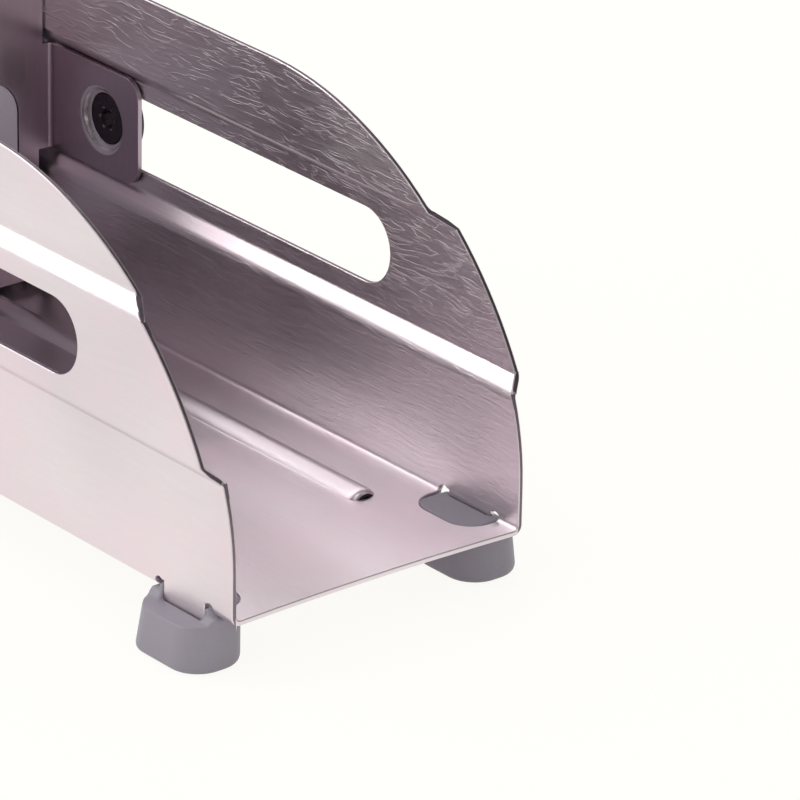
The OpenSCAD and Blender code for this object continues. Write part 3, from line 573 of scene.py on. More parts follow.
def blades_tree() -> Tree:
    """Builds the tree that makes a row of upright ground blades, edge towards +X.

    Returns:
        The tree, whose input Lean turns the row about X.
    """
    grow = Growing("blade_row", {
        "Count": (INT, None), **floats("Pitch", "Length", "Depth", "Thickness", "Lean"),
        "Edge": (FLOAT, 0.3 * MM), "Bevel": (FLOAT, 2 * MM), "Middle": (VECTOR, None)})
    given = grow.given
    x, y, z = grow.position()
    strip = grow.block(grow.triple(given["Depth"], given["Thickness"], given["Length"]), 3)
    ground = grow.minus(grow.times(given["Depth"], 0.5), given["Bevel"])
    middle = grow.math("LESS_THAN", grow.math("ABSOLUTE", x), MERGE)
    strip = grow.reshaped(strip, middle, grow.triple(ground, y, z))
    share = grow.math("DIVIDE", given["Edge"], given["Thickness"])
    tip = grow.math("GREATER_THAN", x, grow.plus(ground, MERGE))
    blade = grow.reshaped(strip, tip, grow.triple(x, grow.times(y, share), z))
    first = grow.times(grow.minus(given["Count"], 1.0), -0.5)
    line = grow.add("GeometryNodeMeshLine", {
        "Count": given["Count"], "Offset": grow.triple(0.0, given["Pitch"], 0.0),
        "Start Location": grow.triple(0.0, grow.times(first, given["Pitch"]), 0.0)})
    row = grow.placed(line.outputs[0], blade)
    row = grow.turned(row, grow.triple(given["Lean"], 0.0, 0.0))
    return grow.finish(grow.moved(row, given["Middle"]))


def pins_tree() -> Tree:
    """Builds the tree that makes a square field of moulded pins that point along -X."""
    grow = Growing("block_pins", {
        "Count": (INT, None), **floats("Pitch", "Width", "Length"),
        "Corner": (FLOAT, 1 * MM), "Draft": (FLOAT, 0.8 * MM), "Middle": (VECTOR, None)})
    given = grow.given
    outline = grow.add("GeometryNodeCurvePrimitiveQuadrilateral",
                       {"Width": given["Width"], "Height": given["Width"]})
    rounded = grow.add("GeometryNodeFilletCurve",
                       {"Curve": outline.outputs[0], "Count": 3, "Radius": given["Corner"]},
                       mode="POLY")
    foot = grow.add("GeometryNodeFillCurve", {"Curve": rounded.outputs[0]}, mode="NGONS")
    shaft = grow.add("GeometryNodeExtrudeMesh",
                     {"Mesh": foot.outputs[0],
                      "Offset Scale": grow.minus(given["Length"], given["Draft"])},
                     mode="FACES").outputs
    tip = grow.add("GeometryNodeExtrudeMesh",
                   {"Mesh": shaft["Mesh"], "Selection": shaft["Top"],
                    "Offset Scale": given["Draft"]}, mode="FACES").outputs
    narrowed = grow.minus(given["Width"], grow.times(given["Draft"], 2.0))
    shrink = grow.add("GeometryNodeScaleElements",
                      {"Geometry": tip["Mesh"], "Selection": tip["Top"],
                       "Scale": grow.math("DIVIDE", narrowed, given["Width"])})
    pin = grow.add("GeometryNodeJoinGeometry", {0: shrink.outputs[0]})
    grow.fill(pin, {0: foot.outputs[0]})
    span = grow.times(given["Pitch"], grow.minus(given["Count"], 1.0))
    spots = grow.add("GeometryNodeMeshGrid", {"Size X": span, "Size Y": span,
                                              "Vertices X": given["Count"],
                                              "Vertices Y": given["Count"]})
    pins = grow.placed(spots.outputs["Mesh"], pin.outputs[0])
    return grow.finish(grow.moved(grow.turned(pins, (0.0, -QUARTER, 0.0)), given["Middle"]))


def grip_tree() -> Tree:
    """Builds the tree that makes a moulded grip with rings of ribs, along Y."""
    steps, around, ribbed_share, crispness = 181, 64, 0.86, 5.0
    grow = Growing("ribbed_grip", {
        **floats("Half", "Radius", "Ribs", "Depth"), "Edge": (FLOAT, 2 * MM),
        "Middle": (VECTOR, None)})
    given = grow.given
    spine = grow.add("GeometryNodeCurvePrimitiveLine", {
        "Start": grow.triple(0.0, grow.times(given["Half"], -1.0), 0.0),
        "End": grow.triple(0.0, given["Half"], 0.0)})
    fine = grow.add("GeometryNodeResampleCurve", {"Curve": spine.outputs[0], "Count": steps})
    place = grow.position()[1]
    along = grow.math("DIVIDE", place, given["Half"])
    wave = grow.math("COSINE", grow.times(along, grow.times(given["Ribs"], math.pi)))
    groove = grow.math("POWER", grow.times(grow.plus(wave, 1.0), 0.5), crispness)
    ribbed = grow.math("LESS_THAN", grow.math("ABSOLUTE", along), ribbed_share)
    groove = grow.times(grow.times(groove, ribbed), given["Depth"])
    left = grow.minus(given["Half"], grow.math("ABSOLUTE", place))
    rest = grow.minus(1.0, grow.math("MINIMUM", 1.0, grow.math("DIVIDE", left, given["Edge"])))
    fall = grow.minus(1.0, grow.math("SQRT", grow.minus(1.0, grow.times(rest, rest))))
    radius = grow.minus(grow.minus(given["Radius"], groove), grow.times(fall, given["Edge"]))
    swell = grow.add("GeometryNodeSetCurveRadius", {"Curve": fine.outputs[0], "Radius": radius})
    ring = grow.add("GeometryNodeCurvePrimitiveCircle", {"Resolution": around, "Radius": 1.0})
    skin = grow.add("GeometryNodeCurveToMesh", {
        "Curve": swell.outputs[0], "Profile Curve": ring.outputs[0],
        "Scale": grow.add("GeometryNodeInputRadius").outputs[0], "Fill Caps": True})
    return grow.finish(grow.moved(skin.outputs[0], given["Middle"]))


# ---------- pieces ----------


def body_of(node: str) -> str:
    """Returns the body that a CAD node belongs to."""
    bodies = frame["record"]["behaviour"]["bodies"]
    return next(body for body, nodes in bodies.items() if node in nodes)


def linked(name: str, data: bpy.types.ID) -> Object:
    """Returns a new object for a mesh, lamp or camera, linked to the scene."""
    thing = bpy.data.objects.new(name, data)
    bpy.context.scene.collection.objects.link(thing)
    return thing


def mesh_of(work: bmesh.types.BMesh, name: str) -> Mesh:
    """Returns a new mesh from a working mesh, which is freed."""
    mesh = bpy.data.meshes.new(name)
    work.to_mesh(mesh)
    work.free()
    return mesh


def bake(piece: Object) -> None:
    """Turns a piece with live modifiers into a plain mesh without them."""
    view = bpy.context.evaluated_depsgraph_get()
    mesh = bpy.data.meshes.new_from_object(piece.evaluated_get(view), depsgraph=view)
    mesh.name = piece.name
    piece.modifiers.clear()
    piece.data = mesh


def outwards(mesh: Mesh) -> None:
    """Merges a mesh's doubles and turns its faces outwards."""
    work = bmesh.new()
    work.from_mesh(mesh)
    bmesh.ops.remove_doubles(work, verts=work.verts, dist=MERGE)
    bmesh.ops.recalc_face_normals(work, faces=work.faces)
    work.to_mesh(mesh)
    work.free()


def shade(piece: Object, limit: float = 40.0, evenness: int = 100) -> None:
    """Shades a piece smooth up to an angle in degrees, with its large faces kept flat."""
    piece.data.shade_smooth()
    piece.data.set_sharp_from_angle(angle=math.radians(limit))
    even = piece.modifiers.new("even_normals", "WEIGHTED_NORMAL")
    even.keep_sharp = True
    even.weight = evenness


def carried(piece: Object, node: str) -> None:
    """Lets an extra piece ride with a CAD node."""
    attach(piece, body_of(node))
    LOG.info("%s rides with %s", piece.name, node)


def stand_in(piece: Object, node: str) -> Object:
    """Lets a finished piece stand for a CAD node, and returns the piece."""
    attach(piece, body_of(node))
    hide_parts(node)
    LOG.info("%s stands for %s, %d faces", piece.name, node, len(piece.data.polygons))
    return piece


def grown(name: str, tree: Tree, values: dict[str, object],
          places: Iterable[Vector] = ()) -> Object:
    """Makes a plain mesh piece with a geometry node tree.

    Args:
        name: the piece's name.
        tree: the tree.
        values: its inputs, by name.
        places: the points that it starts from.

    Returns:
        The piece.
    """
    seed = bpy.data.meshes.new(name)
    seed.from_pydata([tuple(place) for place in places], [], [])
    piece = linked(name, seed)
    modifier = piece.modifiers.new("grow", "NODES")
    modifier.node_group = tree
    for item in tree.interface.items_tree:
        if item.item_type == "SOCKET" and item.in_out == "INPUT" and item.name in values:
            modifier[item.identifier] = values[item.name]
    bake(piece)
    outwards(piece.data)
    return piece


def copies(name: str, part: Object, places: list[Vector], finish: Material,
           turn: float = 0.0) -> Object:
    """Makes a piece of copies of a part.

    Args:
        name: the piece's name.
        part: the part, which is taken away afterwards.
        places: where the copies go.
        finish: the piece's finish.
        turn: how far the copies on the right side are turned about Z.

    Returns:
        The piece.
    """
    piece = grown(name, shared(copies_tree),
                  {"Part": part, "Turn": turn, "Finish": finish}, places)
    bpy.data.objects.remove(part)
    return piece


def also(piece: Object, finish: Material,
         test: Callable[[bpy.types.MeshPolygon], bool]) -> None:
    """Gives the faces of a piece that pass a test another finish."""
    piece.data.materials.append(finish)
    last = len(piece.data.materials) - 1
    for face in piece.data.polygons:
        if test(face):
            face.material_index = last


# ---------- tracings ----------


def sharp(edge: Edge) -> bool:
    """Says whether an edge is a cut or moulded corner."""
    return edge.is_manifold and edge.calc_face_angle(0.0) > SHARP


def bend(edge: Edge) -> bool:
    """Says whether an edge along X is the line of a bend in sheet."""
    if not edge.is_manifold or sharp(edge):
        return False
    run = edge.verts[1].co - edge.verts[0].co
    return abs(run.x) > ALONG * run.length and edge.calc_face_angle(0.0) > BENT


def blunt(edges: list[Edge]) -> list[Edge]:
    """Leaves out edges that meet in a point too slender to be rounded."""
    chosen = set(edges)
    slender: set[Edge] = set()
    for corner in {vert for edge in edges for vert in edge.verts}:
        runs = [(edge, edge.other_vert(corner).co - corner.co)
                for edge in corner.link_edges if edge in chosen]
        for index, (first, way) in enumerate(runs):
            for second, other_way in runs[index + 1:]:
                if way.angle(other_way, math.pi) < SLENDER:
                    slender |= {first, second}
    return [edge for edge in edges if edge not in slender]


def uncross(corners: list[bmesh.types.BMVert]) -> None:
    """Draws back the corners, given in order, of a face where two of its sides cross."""
    count = len(corners)
    for at in range(count):
        for skip in SKIPS:
            between = [corners[(at + step) % count] for step in range(1, skip + 1)]
            before, after = corners[at].co, corners[(at + skip + 1) % count].co
            first, second = between[0].co, between[-1].co
            if (second - first).length > REACH:
                continue
            nearest = intersect_line_line(before, first, second, after)
            if nearest is None or (nearest[0] - nearest[1]).length > MERGE:
                continue
            place = nearest[0]
            if all((place - a).dot(b - a) > 0 > (place - b).dot(b - a)
                   for a, b in ((before, first), (second, after))):
                for corner in between:
                    corner.co = place


class Tracing:
    """A copy of a CAD node whose flat faces are whole again and whose edges are rounded.

    Args:
        node: the CAD node.
    """

    def __init__(self, node: str) -> None:
        """Copies and merges the node's mesh."""
        self.node = node
        self.mesh = bmesh.new()
        self.mesh.from_mesh(frame["nodes"][node].data)
        self.merge()
        bmesh.ops.dissolve_limit(self.mesh, angle_limit=FLAT, verts=self.mesh.verts,
                                 edges=self.mesh.edges)

    def merge(self) -> None:
        """Merges doubles and takes away slivers."""
        bmesh.ops.remove_doubles(self.mesh, verts=self.mesh.verts, dist=MERGE)
        bmesh.ops.dissolve_degenerate(self.mesh, dist=MERGE, edges=self.mesh.edges)

    def round(self, chosen: EdgeTest, width: float, steps: int = 2) -> None:
        """Rounds the chosen edges.

        Args:
            chosen: says whether an edge is rounded.
            width: how wide the rounding is.
            steps: how many faces it has.
        """
        edges = blunt([edge for edge in self.mesh.edges if chosen(edge)])
        bmesh.ops.bevel(self.mesh, geom=edges, offset=width, offset_type="OFFSET",
                        segments=steps, profile=0.5, affect="EDGES", clamp_overlap=False,
                        loop_slide=False)

    def clean(self) -> None:
        """Takes away the crossed corners, slivers and stray faces that the rounding leaves."""
        for face in self.mesh.faces:
            if len(face.verts) > LARGE:
                uncross([loop.vert for loop in face.loops])
        self.merge()
        loose = [face for face in self.mesh.faces
                 if any(len(edge.link_faces) == 1 for edge in face.edges)]
        bmesh.ops.delete(self.mesh, geom=loose, context="FACES")

    def piece(self, name: str, *finishes: Material) -> Object:
        """Turns the tracing into a piece with its finishes that stands for its node."""
        self.clean()
        mesh = mesh_of(self.mesh, name)
        for finish in finishes:
            mesh.materials.append(finish)
        piece = linked(name, mesh)
        shade(piece)
        return stand_in(piece, self.node)


def softened(node: str, finish: Material, width: float, chosen: EdgeTest = sharp) -> None:
    """Makes a piece of a CAD node with its chosen edges rounded alike.

    Args:
        node: the CAD node.
        finish: its finish.
        width: how wide the rounding is, in metres.
        chosen: says whether an edge is rounded.
    """
    tracing = Tracing(node)
    tracing.round(chosen, width)
    tracing.piece(f"{node}_looks", finish)


# ---------- turned and moulded parts ----------


@dataclass(frozen=True)
class Ring:
    """One ring of a turned part.

    Its radius goes to its corners where it has any, and they are turned down to the cap.
    """

    height: float
    radius: float
    corners: int = 0
    cap: float = math.inf

    def at(self, angle: float) -> float:
        """Returns its radius at an angle."""
        if not self.corners:
            return self.radius
        wedge = math.pi / self.corners
        turn = angle % (2 * wedge) - wedge
        return min(self.radius * math.cos(wedge) / math.cos(turn), self.cap)

    def points(self, count: int = 48) -> list[Vector]:
        """Returns its points about the Z axis."""
        angles = [2 * math.pi * step / count for step in range(count)]
        return [Vector((self.at(angle) * math.cos(angle), self.at(angle) * math.sin(angle),
                        self.height)) for angle in angles]


def eased(rings: list[Ring], by: float, steps: int = 3, bored: bool = False) -> list[Ring]:
    """Rounds the corners of a profile.

    Args:
        rings: the profile.
        by: how far from a corner its rounding starts.
        steps: how many faces the rounding has.
        bored: whether the profile closes on itself.

    Returns:
        The rounded profile.
    """
    longest = 0.45
    before = rings[-1:] + rings[:-1]
    after = rings[1:] + rings[:1]
    result: list[Ring] = []
    for index, (last, ring, following) in enumerate(zip(before, rings, after)):
        here = Vector((ring.height, ring.radius))
        ways = [Vector((other.height, other.radius)) - here for other in (last, following)]
        end = not bored and index in (0, len(rings) - 1)
        if end or min(way.length for way in ways) < MERGE:
            result.append(ring)
            continue
        first, second = (here + way.normalized() * min(by, way.length * longest)
                         for way in ways)
        for step in range(steps + 1):
            share = step / steps
            place = (first * (1 - share) ** 2 + here * 2 * share * (1 - share)
                     + second * share ** 2)
            result.append(replace(ring, height=place.x, radius=place.y))
    return result


def skinned(name: str, loops: list[list[Vector]], bored: bool = False) -> Object:
    """Covers a row of loops of points with faces.

    Args:
        name: the name of the part.
        loops: the loops, with as many points each.
        bored: whether the last loop joins the first; otherwise both are capped.

    Returns:
        The part.
    """
    work = bmesh.new()
    rows = [[work.verts.new(point) for point in loop] for loop in loops]
    pairs = list(zip(rows, rows[1:])) + ([(rows[-1], rows[0])] if bored else [])
    for low, high in pairs:
        for step in range(len(low)):
            after = (step + 1) % len(low)
            work.faces.new((low[step], low[after], high[after], high[step]))
    if not bored:
        work.faces.new(rows[0][::-1])
        work.faces.new(rows[-1])
    mesh = mesh_of(work, name)
    outwards(mesh)
    return linked(name, mesh)


def lathed(name: str, rings: list[Ring], turn: Matrix, bored: bool = False) -> Object:
    """Makes a part from its profile about Z, and turns it.

    Args:
        name: the name of the part.
        rings: its profile.
        turn: the turn.
        bored: whether the profile closes on itself.

    Returns:
        The part.
    """
    part = skinned(name, [ring.points() for ring in rings], bored)
    part.data.transform(turn)
    return part


def washer(bore: float, rim: float, thickness: float) -> list[Ring]:
    """Returns the profile of a washer, bush or spacer."""
    corners = [Ring(0, bore), Ring(0, rim), Ring(thickness, rim), Ring(thickness, bore)]
    return eased(corners, by=0.25 * MM, steps=2, bored=True)


def hexagon(radius: float, low: float, high: float) -> list[Ring]:
    """Returns the rings of a hexagon with turned-down corners, between two heights."""
    steepness, shares = 0.6, (0.0, 0.35, 1.0)
    flat = radius * math.cos(math.pi / HEX)
    drop = (radius - flat) * steepness
    ends = ([(low + drop * share, share) for share in shares]
            + [(high - drop * share, share) for share in reversed(shares)])
    return [Ring(height, radius, HEX, flat + (radius - flat) * share) for height, share in ends]


def domed(radius: float, low: float, high: float, steps: int = 8) -> list[Ring]:
    """Returns the rings of a dome that stands on a height."""
    angles = [QUARTER * step / steps for step in range(steps)]
    return [Ring(low + (high - low) * math.sin(angle), radius * math.cos(angle))
            for angle in angles]


def acorn(bore: float, radius: float, height: float, nut_share: float) -> list[Ring]:
    """Returns the profile of a domed nut.

    Args:
        bore: the radius of its thread.
        radius: the hexagon's radius to its corners.
        height: its whole height.
        nut_share: the hexagon's share of the height.

    Returns:
        The profile, from the seat to the dome.
    """
    top = height * nut_share
    seat, dome = radius * 0.86, radius * 0.8
    return [Ring(0.0, bore), Ring(0.0, seat), *hexagon(radius, 0.0, top),
            *domed(dome, top, height)]


def button(shank: float, head: float, rise: float, depth: float, key: float) -> list[Ring]:
    """Returns the profile of a screw with a button head and a hexagon socket.

    Args:
        shank: the shank's radius.
        head: the head's radius.
        rise: the head's height above 0.
        depth: how far the shank goes below 0.
        key: the socket's radius to its corners.

    Returns:
        The profile, from the shank's end to the floor of the socket.
    """
    tip, taper, seat, rim, lip, chamfer, bottom = 0.8, 0.2, 0.97, 1.3, 1.08, 0.15 * MM, 0.45
    crown = [Ring(rise * up, head * out) for up, out in CROWN]
    socket = [Ring(rise, key * rim), Ring(rise, key * lip), Ring(rise - chamfer, key, HEX),
              Ring(rise * bottom, key, HEX)]
    return [Ring(-depth, shank * tip), Ring(-depth + shank * taper, shank), Ring(0, shank),
            Ring(0, head * seat), *crown, *socket]


def half_box(node: str) -> tuple[Vector, Vector]:
    """Returns the lowest and highest corners of what a CAD node has on the left side."""
    points = [point.co for point in frame["nodes"][node].data.vertices if point.co.y > 0]
    return (Vector([min(point[axis] for point in points) for axis in range(3)]),
            Vector([max(point[axis] for point in points) for axis in range(3)]))


def turned_size(node: str) -> tuple[float, float]:
    """Returns the radius along X and the length along Y of a turned node on the left side."""
    low, high = half_box(node)
    return (high.x - low.x) / 2, high.y - low.y


@dataclass
class SubAssembly:
    """A group of pieces that are built and dressed together."""

    finishes: Finishes

    def pair(self, node: str, rings: list[Ring], finish: Material,
             bored: bool = False) -> Object:
        """Turns a part and puts it on both sides, outwards from its node's inner end.

        Args:
            node: the CAD node.
            rings: its profile, whose heights start at the inner end.
            finish: its finish.
            bored: whether the profile closes on itself.

        Returns:
            The piece.
        """
        part = lathed(f"{node}_part", rings, rotation(-QUARTER, "X"), bored)
        low, high = half_box(node)
        places = [Vector(((low.x + high.x) / 2, side.value * low.y, (low.z + high.z) / 2))
                  for side in Side]
        return self.copied(node, part, places, finish, math.pi)

    def copied(self, node: str, part: Object, places: list[Vector], finish: Material,
               turn: float = 0.0) -> Object:
        """Puts copies of a part at several places, to stand for a node (see copies)."""
        piece = copies(f"{node}_turned", part, places, finish, turn)
        shade(piece)
        return stand_in(piece, node)

    def collar(self, node: str, bore: float, finish: Material) -> None:
        """Turns the washer, bush or spacer of a node, for both sides."""
        self.pair(node, washer(bore, *turned_size(node)), finish, bored=True)

    def buttons(self, node: str, across: float, heights: Iterable[float], way: int) -> None:
        """Puts button screws on both sides of the middle, with their heads along X.

        Args:
            node: the CAD node.
            across: how far they are from the middle.
            heights: how high they are.
            way: 1 where the heads face +X and -1 where they face -X.
        """
        shank, rise, key, ease = 2 * MM, 2.2 * MM, 1.6 * MM, 0.2 * MM
        low, high = half_box(node)
        rings = button(shank, (high.y - low.y) / 2, rise, high.x - low.x - rise, key)
        part = lathed(f"{node}_part", eased(rings, ease), rotation(way * QUARTER, "Y"))
        seat = high.x - rise if way > 0 else low.x + rise
        places = [Vector((seat, side.value * across, height))
                  for side in Side for height in heights]
        self.copied(node, part, places, self.finishes.hardware)


@dataclass
class Channel:
    """The bent sheet channel: soft bends, and crisp but not razor-sharp cut edges."""

    finishes: Finishes
    outer_bend: float = 1.5 * MM
    inner_bend: float = 0.6 * MM
    long_bend: float = 20 * MM
    cut_edge: float = 0.26 * MM
    sheet: float = 1.2 * MM
    bead_y: float = 23 * MM
    bead_tip: float = 33 * MM
    bead_w: float = 7 * MM
    bead_h: float = 1.8 * MM
    bead_sink: float = 0.6 * MM
    # Painted shade: a dark disc under each bead's slit, its radius as a share of the bead's
    # width, and its heights.
    shade_disc_share: float = 0.53
    shade_disc_z: tuple[float, float] = (0.15 * MM, 0.7 * MM)
    nose: tuple[tuple[float, float], ...] = ((8.5 * MM, 0.985), (7.5 * MM, 1.01), (3 * MM, 1.01),
                                             (1.7 * MM, 0.96), (0.9 * MM, 0.83),
                                             (0.35 * MM, 0.62))
    floor_top: float = 14 * MM
    walls_from: float = 15.4 * MM
    walls_y: float = 34 * MM
    facing_in: float = 0.9
    upright: float = 0.5
    edge_on: float = 0.2
    facing_back: float = 0.95
    nose_rounding: float = 1.3
    nose_steps: int = 16
    tip_x: float = 0.0

    def build(self) -> None:
        """Builds the channel and the ends of its beads."""
        tracing = Tracing("body_shell")
        self.tip_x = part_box("body_shell")[1][0] - self.bead_tip
        tracing.round(lambda e: bend(e) and e.is_convex, self.outer_bend, 5)
        tracing.round(lambda e: bend(e) and not e.is_convex
                      and e.calc_length() > self.long_bend, self.inner_bend, 3)
        tracing.round(lambda e: sharp(e) and not self.mouth(e), self.cut_edge)
        # Cut-edge faces take the sheared-edge finish, whose dark colour is painted shade along
        # the edges.
        for face in tracing.mesh.faces:
            face.material_index = 1 if self.cut(face) else 2 if self.scuffed(face) else 0
        tracing.piece("channel_sheet", self.finishes.channel, self.finishes.sheared_and_shaded,
                      self.finishes.scuffed)
        self.bead_ends()

    def beside_floor(self, middle: Vector) -> bool:
        """Says whether a place is in a wall."""
        return middle.z > self.walls_from and abs(middle.y) > self.walls_y

    def scuffed(self, face: Face) -> bool:
        """Says whether a face is the inner side of the left wall, which the food scuffs."""
        middle = face.calc_center_median()
        return self.beside_floor(middle) and middle.y > 0 and face.normal.y < -self.facing_in

    def cut(self, face: Face) -> bool:
        """Says whether a face is the cut edge of a wall or of a bead's slit."""
        middle = face.calc_center_median()
        slit = (abs(middle.x - self.tip_x) < self.bead_w / 2
                and abs(abs(middle.y) - self.bead_y) < self.bead_w
                and abs(face.normal.z) < self.upright)
        return slit or (self.beside_floor(middle) and abs(face.normal.y) < self.edge_on)

    def mouth(self, edge: Edge) -> bool:
        """Says whether an edge is at the rear tip of a floor bead."""
        middle = (edge.verts[0].co + edge.verts[1].co) / 2
        return (abs(middle.x - self.tip_x + self.bead_w / 2) < self.bead_w
                and abs(abs(middle.y) - self.bead_y) < self.bead_w)

    def bead_ends(self) -> None:
        """Closes the rear tip of each floor bead with its pressed nose, puts a dark disc under
        its slit as painted shade, and darkens the nose's end faces as painted shade.
        """
        nose = skinned("bead_nose", [self.nose_loop(*level) for level in self.nose])
        shade_disc = lathed("bead_blank", [Ring(height, self.bead_w * self.shade_disc_share)
                                      for height in self.shade_disc_z], Matrix())
        noses = [Vector((self.tip_x, side.value * self.bead_y, 0.0)) for side in Side]
        shade_discs = [Vector((self.tip_x - self.bead_w / 2, place.y, self.floor_top - self.sheet))
                  for place in noses]
        noses = copies("bead_nose_pair", nose, noses, self.finishes.channel)
        carried(noses, "body_shell")
        carried(copies("bead_blank_pair", shade_disc, shade_discs, self.finishes.dark), "body_shell")
        # Painted shade: the nose's end faces take the dark finish.
        also(noses, self.finishes.dark, lambda face: face.normal.x > self.facing_back)
        shade(noses, limit=50.0)

    def nose_loop(self, back: float, share: float) -> list[Vector]:
        """Returns the outline of a bead's nose at a distance from its tip.

        Args:
            back: the distance.
            share: the outline's size there, as a share of the bead's.

        Returns:
            The points, about the bead's middle line.
        """
        half, rise = self.bead_w / 2 * share, self.bead_h * share ** self.nose_rounding
        radius = (half ** 2 + rise ** 2) / (2 * rise)
        across = [half * math.sin(math.pi * (step / self.nose_steps - 0.5))
                  for step in range(self.nose_steps + 1)]
        arch = [(y, self.floor_top + rise - radius + math.sqrt(radius ** 2 - y ** 2))
                for y in across]
        foot = self.floor_top - self.bead_sink
        return [Vector((-back, y, z)) for y, z in (*arch, (half, foot), (-half, foot))]


@dataclass
class Feet:
    """The four push-on feet, with the soft edges of a moulding."""

    finishes: Finishes
    voxel: float = 0.4 * MM
    passes: int = 5
    factor: float = 0.5

    def build(self) -> None:
        """Builds every foot."""
        for end in ("rear", "front"):
            for side in Side:
                self.foot(f"foot_{end}_{side.name.lower()}")

    def foot(self, node: str) -> None:
        """Builds the foot of a CAD node."""
        mesh = mesh_of(Tracing(node).mesh, f"{node}_moulding")
        piece = linked(mesh.name, mesh)
        even = piece.modifiers.new("even_mesh", "REMESH")
        even.mode = "VOXEL"
        even.voxel_size = self.voxel
        soft = piece.modifiers.new("soft_edges", "SMOOTH")
        soft.factor = self.factor
        soft.iterations = self.passes
        bake(piece)
        piece.data.materials.append(self.finishes.moulding)
        piece.data.shade_smooth()
        stand_in(piece, node)


@dataclass
class BladeUnit(SubAssembly):
    """The blade frame, its two rows of ground blades and the screws that hold it."""

    frame_edge: float = 0.35 * MM
    frame_run: float = 12 * MM
    blades: int = 5
    thickness: float = 0.8 * MM
    screw_y: float = 36.1 * MM
    screw_z: tuple[float, float] = (22.0 * MM, 85.6 * MM)

    def build(self) -> None:
        """Builds the unit."""
        softened("blade_frame", self.finishes.plate, self.frame_edge,
                 lambda e: sharp(e) and e.is_convex and e.calc_length() > self.frame_run)
        self.row("vertical_blades", 0.0)
        self.row("horizontal_blades", QUARTER)
        self.buttons("blade_screws", self.screw_y, self.screw_z, -1)

    def row(self, node: str, lean: float) -> None:
        """Grows the row of blades of a CAD node, leaning from upright."""
        low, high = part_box(node)
        middle = [(a + b) / 2 for a, b in zip(low, high)]
        across, along = (2, 1) if lean else (1, 2)
        pitch = (high[across] - low[across] - self.thickness) / (self.blades - 1)
        values = {"Count": self.blades, "Pitch": pitch, "Length": high[along] - low[along],
                  "Depth": high[0] - low[0], "Thickness": self.thickness, "Lean": lean,
                  "Middle": middle, "Finish": self.finishes.blade}
        piece = grown(f"{node}_row", shared(blades_tree), values)
        shade(piece, limit=12.0)
        stand_in(piece, node)


@dataclass
class Carriage(SubAssembly):
    """The carrier, and the moulded block with its field of pins."""

    carrier_edge: float = 0.12 * MM
    dimple: float = 8.6 * MM
    dimple_flat: float = 0.97
    dimple_steep: float = 0.15
    face: float = 65 * MM
    corner: float = 3 * MM
    base_ease: float = 0.6 * MM
    window: tuple[float, float] = (62.6 * MM, 41.6 * MM)
    window_corner: float = 9.3 * MM
    window_ease: float = 0.3 * MM
    window_z: float = 47.6 * MM
    back: float = -43.0 * MM
    rear: float = -44.0 * MM
    front: float = -53.6 * MM
    raised_sink: float = 0.5 * MM
    ease_steps: int = 4
    corner_steps: int = 8
    pins: int = 6
    pin_w: float = 9.4 * MM
    pin_sink: float = 0.2 * MM
    screw_y: float = 14 * MM

    def build(self) -> None:
        """Builds the carriage without its slide bolts."""
        self.carrier()
        low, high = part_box("push_block")
        middle = (low[2] + high[2]) / 2
        base = self.slab("push_block_base", (self.face, self.face), self.corner, middle,
                         (self.front, self.rear), self.base_ease)
        stand_in(base, "push_block")
        raised = self.slab("push_block_face", self.window, self.window_corner, self.window_z,
                           (self.rear - self.raised_sink, self.back), self.window_ease)
        carried(raised, "push_block")
        root = self.front + self.pin_sink
        pins = grown("push_block_pins", shared(pins_tree),
                     {"Count": self.pins, "Width": self.pin_w, "Length": root - low[0],
                      "Pitch": (high[1] - low[1] - self.pin_w) / (self.pins - 1),
                      "Middle": (root, 0.0, middle), "Finish": self.finishes.block})
        shade(pins, limit=25.0)
        carried(pins, "push_block")
        low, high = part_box("block_screws")
        radius = (high[1] - low[1]) / 2 - self.screw_y
        self.buttons("block_screws", self.screw_y, (low[2] + radius, high[2] - radius), 1)

    def carrier(self) -> None:
        """Builds the carrier, with its dimples' slanted faces in the brighter blade finish as a
        painted highlight.
        """
        low, high = half_box("slide_bolts")
        axis = (low + high) / 2
        tracing = Tracing("pusher_carrier")
        tracing.round(sharp, self.carrier_edge)
        # Painted highlight: the dimples' cone faces take the brighter, smoother blade finish, for
        # the bright crescent.
        for face in tracing.mesh.faces:
            middle = face.calc_center_median()
            off = math.hypot(middle.x - axis.x, middle.z - axis.z)
            slanted = self.dimple_steep < abs(face.normal.y) < self.dimple_flat
            face.material_index = int(off < self.dimple and slanted)
        tracing.piece("pusher_carrier_looks", self.finishes.plate, self.finishes.blade)

    def slab(self, name: str, size: tuple[float, float], corner: float, middle: float,
             depth: tuple[float, float], ease: float) -> Object:
        """Moulds a slab with rounded corners and eased edges.

        Args:
            name: its name.
            size: its width along Y and its height along Z.
            corner: the radius of its corners.
            middle: the height of its middle.
            depth: where it starts and ends along X.
            ease: the radius of its edges.

        Returns:
            The slab.
        """
        turns = [QUARTER * step / self.ease_steps for step in range(self.ease_steps + 1)]
        levels = [(end + way * ease * (1 - math.sin(turn)), ease * (1 - math.cos(turn)))
                  for end, way in zip(depth, (1, -1)) for turn in turns[::-way]]
        loops = [[Vector((place, y * (size[0] / 2 - corner) + (corner - inset) * math.cos(angle),
                          middle + z * (size[1] / 2 - corner)
                          + (corner - inset) * math.sin(angle)))
                  for quarter, (y, z) in enumerate(((1, 1), (-1, 1), (-1, -1), (1, -1)))
                  for angle in [QUARTER * (quarter + step / self.corner_steps)
                                for step in range(self.corner_steps + 1)]]
                 for place, inset in levels]
        slab = skinned(name, loops)
        slab.data.materials.append(self.finishes.block)
        shade(slab)
        return slab


